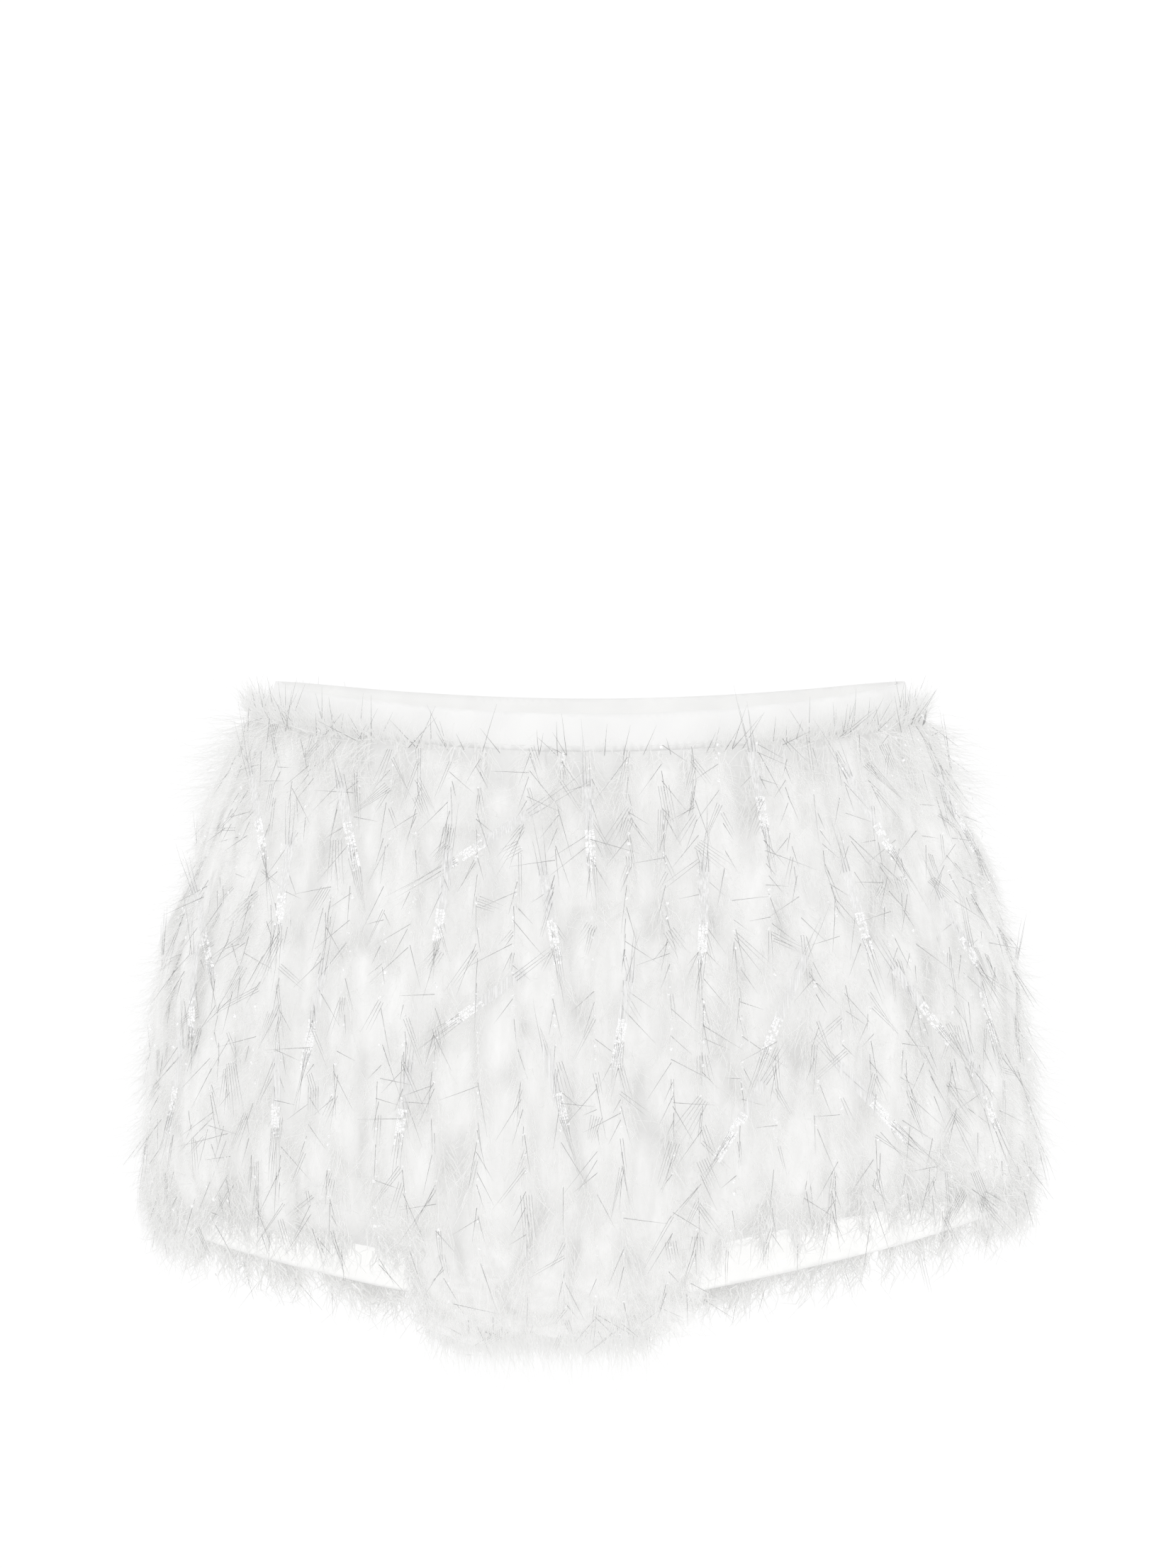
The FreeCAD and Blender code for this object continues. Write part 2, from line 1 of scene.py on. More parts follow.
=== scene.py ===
# %% [markdown]
# # Feather fringe mini shorts
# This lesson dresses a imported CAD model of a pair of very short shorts. The CAD holds the cut of every
# cloth layer and the zip, so the first step is only to load it. Everything below is placed by asking that
# frame where the cloth is, in metres: +X is the wearer's left, -Y the front and +Z up.

# %% Load the frame
import math

import bmesh
import bpy
import numpy as np
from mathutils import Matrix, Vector
from mathutils.bvhtree import BVHTree


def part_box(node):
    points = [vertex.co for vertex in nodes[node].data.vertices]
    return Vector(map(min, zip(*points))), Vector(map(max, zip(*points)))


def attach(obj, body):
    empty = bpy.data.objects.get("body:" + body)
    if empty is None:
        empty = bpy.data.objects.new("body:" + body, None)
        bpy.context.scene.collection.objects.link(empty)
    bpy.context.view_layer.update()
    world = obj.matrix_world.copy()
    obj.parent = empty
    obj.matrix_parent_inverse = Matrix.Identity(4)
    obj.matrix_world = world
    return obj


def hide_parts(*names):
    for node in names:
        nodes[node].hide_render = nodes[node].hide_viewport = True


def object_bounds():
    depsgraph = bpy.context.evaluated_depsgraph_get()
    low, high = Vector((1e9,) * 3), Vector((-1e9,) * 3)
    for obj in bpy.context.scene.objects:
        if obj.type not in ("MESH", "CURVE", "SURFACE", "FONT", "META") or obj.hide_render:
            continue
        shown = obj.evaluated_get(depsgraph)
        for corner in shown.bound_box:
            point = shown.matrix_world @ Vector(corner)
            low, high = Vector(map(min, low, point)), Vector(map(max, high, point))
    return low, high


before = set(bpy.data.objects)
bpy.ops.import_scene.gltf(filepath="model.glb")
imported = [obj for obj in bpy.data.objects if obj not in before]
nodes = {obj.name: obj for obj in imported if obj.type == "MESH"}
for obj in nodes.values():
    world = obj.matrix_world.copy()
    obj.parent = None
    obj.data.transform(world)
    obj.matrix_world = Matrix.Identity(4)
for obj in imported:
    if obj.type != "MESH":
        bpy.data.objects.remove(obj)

cad_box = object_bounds()
BODY = "shorts"
print("nodes", len(nodes), "box", [tuple(round(v, 4) for v in corner) for corner in cad_box])

# %% [markdown]
# The garment's main measures come from the boxes of its cloth panels: half its width and half its depth at
# the seat. The seat's height is where the body starts to curve in under itself. The foot of the zip's coil
# matters too, because the fringe has to keep off the zip.

# %% Main measures
MM = 0.001
FACES = ("front", "back")
SIDES = ("right", "left")
QUARTERS = [(face, side) for face in FACES for side in SIDES]
half_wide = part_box("panel_front_left")[1].x
half_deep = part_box("panel_back_left")[1].y
SEAT_Z = -0.200
zip_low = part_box("zip_coil_front")[0]
print("half sizes", round(half_wide, 4), round(half_deep, 4), "foot of the zip", round(zip_low.z, 4))

# %% [markdown]
# Cloth that is worn is never a perfect oval. One soft field of small folds moves every cloth layer and
# every root of the fringe by the same amount, so that the layers stay apart. It dies away towards the zip
# at the wearer's left, because the zip's coil is straight. A cloth simulation could make folds as well, but
# this body is held in shape, and a sum of three waves is quick and gives every layer exactly the same move.

# %% A field of soft folds
FOLD_DEPTH = 1.4 * MM
# Each wave: how many round the body, how fast it turns with height, where it starts, its share.
FOLD_WAVES = ((9, 14, 0.0, 1.0), (17, -31, 1.3, 0.6), (5, 52, 0.4, 0.5))
QUIET_ANGLE = 0.32


def folds(points):
    """How far the cloth moves from its cut place, as an array of vectors."""
    x, y, z = points[:, 0], points[:, 1], points[:, 2]
    around = np.arctan2(y / half_deep, x / half_wide)
    swell = sum(s * np.sin(n * around + turn * z + start) for n, turn, start, s in FOLD_WAVES)
    quiet = 1 - np.exp(-((around / QUIET_ANGLE) ** 2))
    out = np.stack([np.cos(around) / half_wide, np.sin(around) / half_deep, np.zeros(len(x))], 1)
    out /= np.linalg.norm(out, axis=1)[:, None]
    return out * (FOLD_DEPTH * 0.5 * swell * quiet)[:, None]


print("fold at the middle of the front", folds(np.array([[0.0, -half_deep, SEAT_Z / 2]]))[0].round(5))


# %% [markdown]
# ## Shader maths
# Materials are sums of patterns. This small class wraps one socket, so that a pattern can be written as
# a Python expression: every operator adds its Math node. Colours go through a Mix node instead, because
# a Math node would turn them grey.

# %% Sockets that take part in arithmetic
class Value:
    def __init__(self, recipe, socket):
        self.recipe, self.socket = recipe, socket

    def maths(self, operation, *terms):
        values = {index: term for index, term in enumerate(terms)}
        return self.recipe.node("ShaderNodeMath", {"operation": operation}, values)

    def __add__(self, other):
        return self.maths("ADD", self, other)

    def __sub__(self, other):
        return self.maths("SUBTRACT", self, other)

    def __rsub__(self, other):
        return self.maths("SUBTRACT", other, self)

    def __mul__(self, other):
        return self.maths("MULTIPLY", self, other)

    __radd__ = __add__
    __rmul__ = __mul__


class Recipe:
    """One material: its Principled shader and the nodes that feed it."""

    def __init__(self, name, **constants):
        self.material = bpy.data.materials.new(name)
        self.material.use_nodes = True
        self.tree = self.material.node_tree
        self.shader = next(n for n in self.tree.nodes if n.type == "BSDF_PRINCIPLED")
        for key, value in constants.items():
            self.shader.inputs[key.replace("_", " ")].default_value = value

    def node(self, kind, settings=None, sockets=None, output=0):
        made = self.tree.nodes.new(kind)
        for key, value in (settings or {}).items():
            if key == "stops":
                ramp = made.color_ramp
                for index, (place, tone) in enumerate(value):
                    stop = ramp.elements[index] if index < 2 else ramp.elements.new(place)
                    stop.position, stop.color = place, tone
            else:
                setattr(made, key, value)
        for key, value in (sockets or {}).items():
            self.feed(made.inputs[key], value)
        return Value(self, made.outputs[output])

    def feed(self, socket, value):
        if isinstance(value, Value):
            self.tree.links.new(value.socket, socket)
        else:
            socket.default_value = value

    def place(self, scale=(1, 1, 1)):
        """Where a point of the surface is, in the garment's own frame, stretched by scale."""
        spot = self.node("ShaderNodeTexCoord", output="Object")
        return self.node("ShaderNodeMapping", None, {"Vector": spot, "Scale": scale})

    def noise(self, scale, detail=2.0, stretch=(1, 1, 1), rough=0.5):
        sockets = {"Vector": self.place(stretch), "Scale": scale, "Detail": detail, "Roughness": rough}
        return self.node("ShaderNodeTexNoise", None, sockets)

    def wave(self, scale, axis, bend=0.0):
        return self.node("ShaderNodeTexWave", {"wave_type": "BANDS", "bands_direction": axis},
                         {"Vector": self.place(), "Scale": scale, "Distortion": bend}, output="Fac")

    def weave(self, scale, bend=0.0):
        return self.wave(scale, "Z", bend) * self.wave(scale, "X", bend)

    def blend(self, factor, first, second):
        return self.node("ShaderNodeMix", {"data_type": "RGBA"}, {0: factor, 6: first, 7: second}, output=2)

    def fit(self, value, low, high):
        """The part of a value between low and high, spread over 0 to 1."""
        return self.node("ShaderNodeMapRange", None, {"Value": value, "From Min": low, "From Max": high})

    def bump(self, height, depth, strength=1.0):
        return self.node("ShaderNodeBump", None, {"Height": height, "Distance": depth, "Strength": strength})

    def set(self, **links):
        for key, value in links.items():
            self.feed(self.shader.inputs[key.replace("_", " ")], value)
        return self.material


print("shader helpers ready")


# %% [markdown]
# ## Finishes
# Everything on this garment is white, so the finishes differ in how they are built up: a hairy yarn, a
# sheer filament cloth, a plain lining, cut metal foil. Each has its own weave or streaks in real sizes.

# %% Tones
def tone(level, warm=0.0):
    """A near-neutral white; warm above 0 leans to ivory."""
    return (level, level * (1 - 0.1 * warm), level * (1 - warm), 1.0)


SNOW = tone(0.83, 0.012)
CHALK = tone(0.76, 0.018)
SHADE = tone(0.68, 0.012)
BAND_DULL, BAND_BRIGHT = tone(0.76, 0.012), tone(0.84, 0.012)
FOIL = tone(0.93)
print("tones from", round(SHADE[0], 2), "to", FOIL[0])


# %% [markdown]
# Thin white cloth is partly lit by light that has come through it. True translucency is slow in so many
# fibres, so a small painted glow of the cloth's own colour stands in for it and lifts the cloth's shade.
# The sheen is the bright rim of filament yarn; a weave is two crossed sets of bands, and a streak is a noise
# stretched along the yarn.

# %% Fringe yarn and sheer cloth
GLOW = 0.16


def feather_finish():
    """Cut filament yarn: a little duller and brighter in soft random clumps, streaked along its length."""
    r = Recipe("feather_yarn", Roughness=0.5, Sheen_Weight=0.25, Sheen_Roughness=0.4, Emission_Strength=GLOW)
    clump = r.fit(r.noise(70, 3.0), 0.35, 0.65)
    streak = r.fit(r.noise(900, 2.0, (1, 1, 0.15)), 0.3, 0.7)
    colour = r.blend(clump * 0.6 + streak * 0.4, CHALK, SNOW)
    return r.set(Base_Color=colour, Roughness=0.42 + streak * 0.2, Emission_Color=colour)


def petal_finish():
    """Cut slips of sheer filament cloth, with a fine crossed weave; they thin out towards their edges."""
    r = Recipe("petal_organza", Roughness=0.38, Sheen_Weight=0.2, Emission_Strength=GLOW)
    weave = r.weave(1500)
    streak = r.fit(r.noise(160, 3.0, (1, 1, 0.25)), 0.3, 0.75)
    body = r.node("ShaderNodeAttribute", {"attribute_name": "body"}, output=2)
    colour = r.blend(streak, CHALK, SNOW)
    return r.set(Base_Color=colour, Roughness=0.3 + weave * 0.25, Emission_Color=colour,
                 Normal=r.bump(weave, 0.05 * MM, 0.5), Alpha=body * (0.62 + streak * 0.3))


def ground_finish():
    """The cloth that the fringe is woven into: plain weave with slubs, in a darker tone (SHADE) that is
    painted shade between the fibres.
    """
    r = Recipe("ground_cloth", Roughness=0.7, Sheen_Weight=0.3, Emission_Strength=GLOW)
    weave = r.weave(1100, 1.0)
    slub = r.fit(r.noise(240, 4.0, (1, 1, 0.2)), 0.35, 0.7)
    colour = r.blend(slub, SHADE, CHALK)
    return r.set(Base_Color=colour, Roughness=0.6 + weave * 0.3, Emission_Color=colour,
                 Normal=r.bump(weave + slub * 0.5, 0.12 * MM))


def organza_finish():
    """Smooth waistband and its facing: a tight sheen cloth with faint cross bars."""
    r = Recipe("band_organza", Roughness=0.42, Sheen_Weight=0.15)
    weave = r.weave(1300)
    cloud = r.fit(r.noise(45, 2.0), 0.3, 0.7)
    return r.set(Base_Color=r.blend(cloud, BAND_DULL, BAND_BRIGHT), Roughness=0.36 + weave * 0.2,
                 Normal=r.bump(weave, 0.04 * MM, 0.6))


def lining_finish():
    """Lining: a painted glow, twice the fringe's, stands in for light that comes through it from outside, so
    it is never quite dark.
    """
    r = Recipe("lining_twill", Roughness=0.55, Sheen_Weight=0.1, Emission_Strength=2 * GLOW)
    twill = r.wave(900, "DIAGONAL")
    cloud = r.fit(r.noise(60, 3.0), 0.3, 0.7)
    colour = r.blend(cloud, BAND_DULL, BAND_BRIGHT)
    return r.set(Base_Color=colour, Roughness=0.5 + twill * 0.15, Emission_Color=colour,
                 Normal=r.bump(twill, 0.06 * MM))


FEATHER, PETAL, GROUND = feather_finish(), petal_finish(), ground_finish()
ORGANZA, LINING = organza_finish(), lining_finish()
print("cloth finishes", len(bpy.data.materials))

# %% [markdown]
# The silver is plastic film with a metal coat: metallic but patchy. Its dark grey and its dull and bright
# stretches are painted reflection, standing in for a sliver that shows a dark room in one stretch and its
# own grey in the next. Zip and hook are nylon, enamel and drawn nickel wire, each with the ribs, wear or
# draw marks of its making.

# %% Silver and hardware
def tinsel_finish():
    """Flat metal-coated film: dark grey along its length, with dull and bright stretches; the grey and the
    stretches are painted reflection.
    """
    r = Recipe("silver_thread", Metallic=0.85, Roughness=0.3)
    painted_reflection = r.fit(r.noise(420, 2.0), 0.35, 0.7)
    return r.set(Base_Color=r.blend(painted_reflection, tone(0.10), tone(0.34)), Roughness=0.2 + painted_reflection * 0.25)


def foil_finish():
    """Glitter facets in the middle of the woven strips; their emission is a painted glow that shines as
    painted glints.
    """
    r = Recipe("silver_glitter_painted_glow", Metallic=0.3, Roughness=0.25, Emission_Strength=0.3)
    grain = r.fit(r.noise(1600, 2.0), 0.3, 0.7)
    colour = r.blend(grain, tone(0.42), FOIL)
    return r.set(Base_Color=colour, Roughness=0.15 + grain * 0.3, Emission_Color=colour)


def ribbon_finish():
    """The sheer woven ribbon that carries the silver: streaked along its length."""
    r = Recipe("silver_ribbon", Roughness=0.35, Metallic=0.2)
    streak = r.fit(r.noise(1300, 2.0, (1, 1, 0.06)), 0.35, 0.65)
    return r.set(Base_Color=r.blend(streak, tone(0.5), tone(0.78)), Roughness=0.25 + streak * 0.2,
                 Alpha=0.35 + streak * 0.5)


def zip_tape_finish():
    r = Recipe("zip_tape_weave", Roughness=0.75)
    rib = r.wave(1900, "Z")
    fleck = r.fit(r.noise(700, 2.0), 0.3, 0.7)
    return r.set(Base_Color=r.blend(fleck, tone(0.72), tone(0.8)), Roughness=0.65 + rib * 0.2,
                 Normal=r.bump(rib, 0.08 * MM))


def nylon_finish():
    r = Recipe("zip_nylon", Roughness=0.35)
    fleck = r.fit(r.noise(500, 2.0), 0.3, 0.7)
    return r.set(Base_Color=r.blend(fleck, tone(0.66), tone(0.76)), Roughness=0.3 + fleck * 0.15)


def enamel_finish():
    """White stoved enamel on a cast slider, thin and greyer where fingers rub it."""
    r = Recipe("white_enamel", Roughness=0.3, Coat_Weight=0.4)
    rub = r.fit(r.noise(260, 3.0), 0.45, 0.75)
    return r.set(Base_Color=r.blend(rub, tone(0.76), tone(0.6)), Roughness=0.22 + rub * 0.25,
                 Normal=r.bump(r.noise(900, 2.0), 0.02 * MM, 0.5))


def nickel_finish():
    r = Recipe("nickel_wire", Metallic=1.0, Roughness=0.25)
    drawn = r.fit(r.noise(1200, 2.0, (1, 0.1, 1)), 0.3, 0.7)
    return r.set(Base_Color=r.blend(drawn, tone(0.42), tone(0.6)), Roughness=0.18 + drawn * 0.2)


def satin_finish():
    r = Recipe("label_satin", Roughness=0.3, Sheen_Weight=0.2)
    float_yarn = r.wave(1700, "X")
    cloud = r.fit(r.noise(120, 2.0), 0.3, 0.7)
    return r.set(Base_Color=r.blend(cloud, tone(0.75), tone(0.84)), Roughness=0.25 + float_yarn * 0.2,
                 Normal=r.bump(float_yarn, 0.04 * MM))


TINSEL, GLITTER_WITH_PAINTED_GLOW, RIBBON = tinsel_finish(), foil_finish(), ribbon_finish()
ZIP_TAPE, NYLON = zip_tape_finish(), nylon_finish()
ENAMEL, NICKEL, SATIN = enamel_finish(), nickel_finish(), satin_finish()
print("all finishes", len(bpy.data.materials))


# %% [markdown]
# ## Making meshes from arrays
# Tens of thousands of fibres can't be modelled one at a time. NumPy works out all their points at once,
# and one call hands them to Blender.

# %% Mesh helper
NO_LENGTH = 1e-12


def placed(name, data):
    """A new object in the scene."""
    made = bpy.data.objects.new(name, data)
    bpy.context.scene.collection.objects.link(made)
    return made


def mesh_piece(name, points, quads, materials, tags=None, smooth=True, body=None):
    """A mesh object from arrays of points and faces; body is how solid the cloth is at each point."""
    mesh = bpy.data.meshes.new(name)
    quads = np.asarray(quads, np.int32)
    sides = quads.shape[1]
    mesh.vertices.add(len(points))
    mesh.vertices.foreach_set("co", np.asarray(points, np.float32).ravel())
    mesh.loops.add(quads.size)
    mesh.loops.foreach_set("vertex_index", quads.ravel())
    mesh.polygons.add(len(quads))
    mesh.polygons.foreach_set("loop_start", np.arange(len(quads), dtype=np.int32) * sides)
    for material in materials:
        mesh.materials.append(material)
    if tags is not None:
        mesh.polygons.foreach_set("material_index", np.asarray(tags, np.int32))
    mesh.update(calc_edges=True)
    if body is not None:
        mesh.attributes.new("body", "FLOAT", "POINT").data.foreach_set("value", np.asarray(body, np.float32))
    if smooth:
        mesh.shade_smooth()
    return placed(name, mesh)


def settle(piece, slot, *replaced):
    """Ride the garment's body and stand for CAD nodes; the slot argument is not used."""
    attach(piece, BODY)
    if replaced:
        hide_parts(*replaced)


def unit(vectors):
    return vectors / np.maximum(np.linalg.norm(vectors, axis=-1, keepdims=True), NO_LENGTH)


def merge(parts):
    """Several (points, faces) pairs as one pair."""
    points, faces, start = [], [], 0
    for p, f in parts:
        points.append(p)
        faces.append(f + start)
        start += len(p)
    return np.concatenate(points), np.concatenate(faces)


def grid_faces(rows, columns):
    index = np.arange(rows * columns).reshape(rows, columns)
    return np.stack([index[:-1, :-1], index[:-1, 1:], index[1:, 1:], index[1:, :-1]], -1).reshape(-1, 4)


print("mesh helpers ready")


# %% [markdown]
# ## Cloth layers
# Each CAD layer already has the right outline, but its triangles are long and perfectly smooth. The copy
# is divided until no edge is longer than a few millimetres, then eased by the folds. A separate copy is
# needed because a CAD mesh itself is never changed. No cutting pattern is known, so each sheet's flat size
# is worked out from its own mesh: the length is the height of its CAD box, the area is half of the mesh's
# two-sided surface, and the piece is taken to fill four fifths of the rectangle it was cut from.

# %% Cloth from the CAD layers
EDGE_LIMIT = 5 * MM
WELD = 0.01 * MM
MOST_DIVISIONS = 7
CREASE = math.radians(50)


def eased_cloth(node, name, material, slot):
    """A finely divided copy of a CAD layer, moved by the field of folds."""
    made = bmesh.new()
    made.from_mesh(nodes[node].data)
    bmesh.ops.remove_doubles(made, verts=made.verts, dist=WELD)
    for _ in range(MOST_DIVISIONS):
        long_edges = [e for e in made.edges if e.calc_length() > EDGE_LIMIT]
        if not long_edges:
            break
        bmesh.ops.subdivide_edges(made, edges=long_edges, cuts=1)
        bmesh.ops.triangulate(made, faces=[f for f in made.faces if len(f.verts) > 3])
    where = np.array([v.co for v in made.verts])
    for vert, shift in zip(made.verts, folds(where)):
        vert.co += Vector(shift)
    mesh = bpy.data.meshes.new(name)
    made.to_mesh(mesh)
    area = sum(f.calc_area() for f in made.faces) / 2
    made.free()
    mesh.materials.clear()
    mesh.materials.append(material)
    mesh.polygons.foreach_set("material_index", [0] * len(mesh.polygons))
    mesh.shade_smooth()
    mesh.set_sharp_from_angle(angle=CREASE)
    piece = placed(name, mesh)
    settle(piece, slot, node)
    low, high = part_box(node)
    length = high.z - low.z
    1.25 * area / length


CLOTHS = [(f"panel_{f}_{s}", f"shell_{f}_{s}", GROUND, "fringe_cloth") for f, s in QUARTERS]
CLOTHS += [(f"lining_{f}_{s}", f"lining_cloth_{f}_{s}", LINING, "lining_cloth") for f, s in QUARTERS]
CLOTHS += [(f"hem_facing_{f}_{s}", f"hem_band_{f}_{s}", LINING, "organza") for f, s in QUARTERS]
CLOTHS += [(f"waistband_{f}", f"waist_cloth_{f}", ORGANZA, "organza") for f in FACES]
CLOTHS += [(f"waist_facing_{f}", f"waist_inside_{f}", ORGANZA, "organza") for f in FACES]
for row in CLOTHS:
    eased_cloth(*row)
print("cloth pieces", len(CLOTHS))

# %% [markdown]
# ## Finding the cloth
# The fringe grows from the outer panels. A point on them is found as a tailor measures a body: first
# straight down from the waist, then on round the seat and under the crotch. A ray goes out from a line
# inside the garment and meets the panel there.

# %% Rays from inside the garment
CORE_SHARE = 0.55
TURN_RADIUS = 85 * MM
JUST_PAST = 0.05 * MM
WALL = 8 * MM
BAND_LIFTS = (2 * MM, 6 * MM)
BAND_REACH = 12 * MM


def tree_of(names):
    """One search tree over several CAD nodes, and which node each of its faces belongs to."""
    corners, faces, owner, start = [], [], [], 0
    for name in names:
        mesh = nodes[name].data
        mesh.calc_loop_triangles()
        corners += [v.co.copy() for v in mesh.vertices]
        faces += [tuple(i + start for i in t.vertices) for t in mesh.loop_triangles]
        owner += [name] * len(mesh.loop_triangles)
        start += len(mesh.vertices)
    return BVHTree.FromPolygons(corners, faces), owner


panels, _ = tree_of([f"panel_{f}_{s}" for f, s in QUARTERS])
FRINGES = [f"fringe_{band}_{f}_{s}" for band in ("upper", "lower", "hem") for f, s in QUARTERS]
fringes, fringe_owner = tree_of(FRINGES)


def ray(around, down):
    """Origin and direction of the ray for a place round the body and a length down from the waist."""
    level = min(down, -SEAT_Z)
    tilt = max(0.0, down + SEAT_Z) / TURN_RADIUS
    origin = Vector((CORE_SHARE * half_wide * math.cos(around), 0, -level))
    reach = (1 - CORE_SHARE) * half_wide
    flat = Vector((reach * math.cos(around), half_deep * math.sin(around), 0)).normalized()
    return origin, flat * math.cos(tilt) + Vector((0, 0, -math.sin(tilt)))


def touch(around, down):
    """Point and outward normal on the panels' outside, or None where there is no cloth."""
    origin, way = ray(around, down)
    hit, normal, _, _ = panels.ray_cast(origin, way)
    if hit is None:
        return None
    far, far_normal, _, _ = panels.ray_cast(hit + way * JUST_PAST, way)
    if far is not None and (far - hit).length < WALL:
        hit, normal = far, far_normal
    if normal.dot(way) < 0:
        normal = -normal
    return hit, normal


def band_of(point, normal):
    """Which CAD fringe band lies over a point of the cloth."""
    for lift in BAND_LIFTS:
        _, _, face, gap = fringes.find_nearest(point + normal * lift)
        if face is not None and gap < BAND_REACH:
            return fringe_owner[face]
    return None


print("front at mid height", [round(v, 4) for v in touch(-math.pi / 2, 0.1)[0]])

# %% [markdown]
# ## Yarn strings
# On the real cloth the fringe is bound to yarns that run down from the waist seam, side by side, and part
# a little as the hips widen. Their paths are worked out once; feathers, silver and petals all start from
# them. At every place a path knows its point, the way out of the cloth, the way down along the cloth and
# the length from the waist. A path is cut where the cloth ends, such as at a leg opening.

# %% Paths of the strings
STRING_COUNT = 74
STRING_STEP = 1.5 * MM
STRING_START, STRING_END = 0.004, 0.345
UNEVEN = 0.15
SWAY, SWAY_RATE = 0.018, 34
GAP = 6 * MM
ZIP_CLEAR = 8 * MM
PULL_ROOM = 36 * MM
FEWEST_PLACES = 8
rng = np.random.default_rng(20)


def smoothed(rows, window=9):
    """Rows averaged with their neighbours and made unit vectors again."""
    padded = np.pad(rows, ((window // 2, window // 2), (0, 0)), mode="edge")
    weights = np.ones(window) / window
    return unit(np.stack([np.convolve(padded[:, i], weights, "valid") for i in range(3)], 1))


def over_zip(point):
    """Whether a point lies over the coil, or where the pull hangs when the slider is right down."""
    return point.x > 0.5 * half_wide and abs(point.y) < ZIP_CLEAR and point.z > zip_low.z - PULL_ROOM


def string_paths():
    """For every unbroken string: points, ways out, ways down and lengths from the waist."""
    paths = []
    for index in range(STRING_COUNT):
        start = 2 * math.pi * (index + 0.5 + rng.uniform(-UNEVEN, UNEVEN)) / STRING_COUNT
        sway, phase = rng.uniform(0.3, 1.0), rng.uniform(0, 6.28)
        runs = [[]]
        for down in np.arange(STRING_START, STRING_END, STRING_STEP):
            around = start + SWAY * sway * math.sin(down * SWAY_RATE * sway + phase)
            found = touch(around, down)
            if found is None or over_zip(found[0]):
                runs.append([])
                continue
            if runs[-1] and (found[0] - runs[-1][-1][0]).length > GAP:
                runs.append([])
            runs[-1].append((*found, down))
        for run in runs:
            if len(run) >= FEWEST_PLACES:
                point, out, length = (np.array([row[i] for row in run]) for i in range(3))
                out = smoothed(out)
                fall = smoothed(np.gradient(point, axis=0))
                paths.append((point + folds(point), out, fall, length))
    return paths


strings = string_paths()
roots, outs, falls, downs = (np.concatenate([path[i] for path in strings]) for i in range(4))
owners = np.array([band_of(Vector(p), Vector(n)) or "" for p, n in zip(roots, outs)])


def places_on(face):
    """The places of all strings that lie on the front or the back."""
    return np.flatnonzero((roots[:, 1] < 0) == (face == "front"))


print("strings", len(strings), "places", len(roots), "without a band", int((owners == "").sum()))

# %% [markdown]
# Each string is a soft two-ply yarn. Two thin tubes wind round its path; they show where the fringe parts.

# %% Yarn cores
PLY_RADIUS = 0.5 * MM
PLY_OFFSET = 0.45 * MM
PLY_TURN = 5.0 * MM


def tube_faces(count, points, sides):
    """Faces of count tubes, each of as many rings as it has points along it."""
    base = (np.arange(count) * points * sides)[:, None, None]
    ring = (np.arange(points - 1) * sides)[None, :, None]
    step = np.arange(sides)[None, None, :]
    a, b = base + ring + step, base + ring + (step + 1) % sides
    return np.stack([a, b, b + sides, a + sides], -1).reshape(-1, 4)


def tube(line, radius, sides=4):
    """Points and faces of one tube along a line of points."""
    along = unit(np.gradient(line, axis=0))
    side = unit(np.cross(along, [0.3, 0.9, 0.1]))
    other = np.cross(along, side)
    angle = 2 * np.pi * np.arange(sides) / sides
    ring = line[:, None] + radius * (side[:, None] * np.cos(angle)[None, :, None]
                                     + other[:, None] * np.sin(angle)[None, :, None])
    return ring.reshape(-1, 3), tube_faces(1, len(line), sides)


for face in FACES:
    plies = []
    for point, out, fall, length in strings:
        if (point[0, 1] < 0) == (face == "front"):
            across = np.cross(out, fall)
            for ply in (0, math.pi):
                turn = (2 * np.pi * length / PLY_TURN + ply)[:, None]
                middle = point + out * (2 * PLY_OFFSET + PLY_OFFSET * np.sin(turn))
                plies.append(tube(middle + across * PLY_OFFSET * np.cos(turn), PLY_RADIUS))
    settle(mesh_piece(f"yarn_cores_{face}", *merge(plies), [FEATHER]), "feather_fringe")
print("yarn cores done")

# %% [markdown]
# The slider has to run the whole length of the zip with its pull hanging below it, so the fringe is parted
# there like hair at a parting: whatever would lie over the coil is moved aside, towards its own root.

# %% Parting at the zip
CHANNEL = 6.5 * MM
PARTED = 34 * MM
PARTING_ENDS = 9 * MM
COMBED = 25 * MM


def off_zip(points, beside):
    """Points moved sideways out of the zip's way, each to the side on which its value of beside lies."""
    side = np.where(beside < 0, -1.0, 1.0)
    away = points[:, 1] * side
    eased = CHANNEL + np.clip(away, 0, PARTED) * (1 - CHANNEL / PARTED)
    share = np.clip((points[:, 2] - zip_low.z + PULL_ROOM) / PARTING_ENDS, 0, 1)
    share = np.where((points[:, 0] > 0.5 * half_wide) & (away < PARTED), share, 0)
    moved = points.copy()
    moved[:, 1] = side * (away + (eased - away) * share)
    return moved


print("parted down to", round(zip_low.z - PULL_ROOM, 3))

# %% [markdown]
# A feather fibre is a thin tapering three-sided tube. It leaves the string at an angle, is pulled down by
# its weight and curls a little. `fibres` works on whole arrays: every argument holds one value per fibre.

# %% Fibres as arrays
GRAVITY = np.array([0.0, 0.0, -1.0])
CURL_TURNS = (0.6, 1.3)
TAPER = 0.8


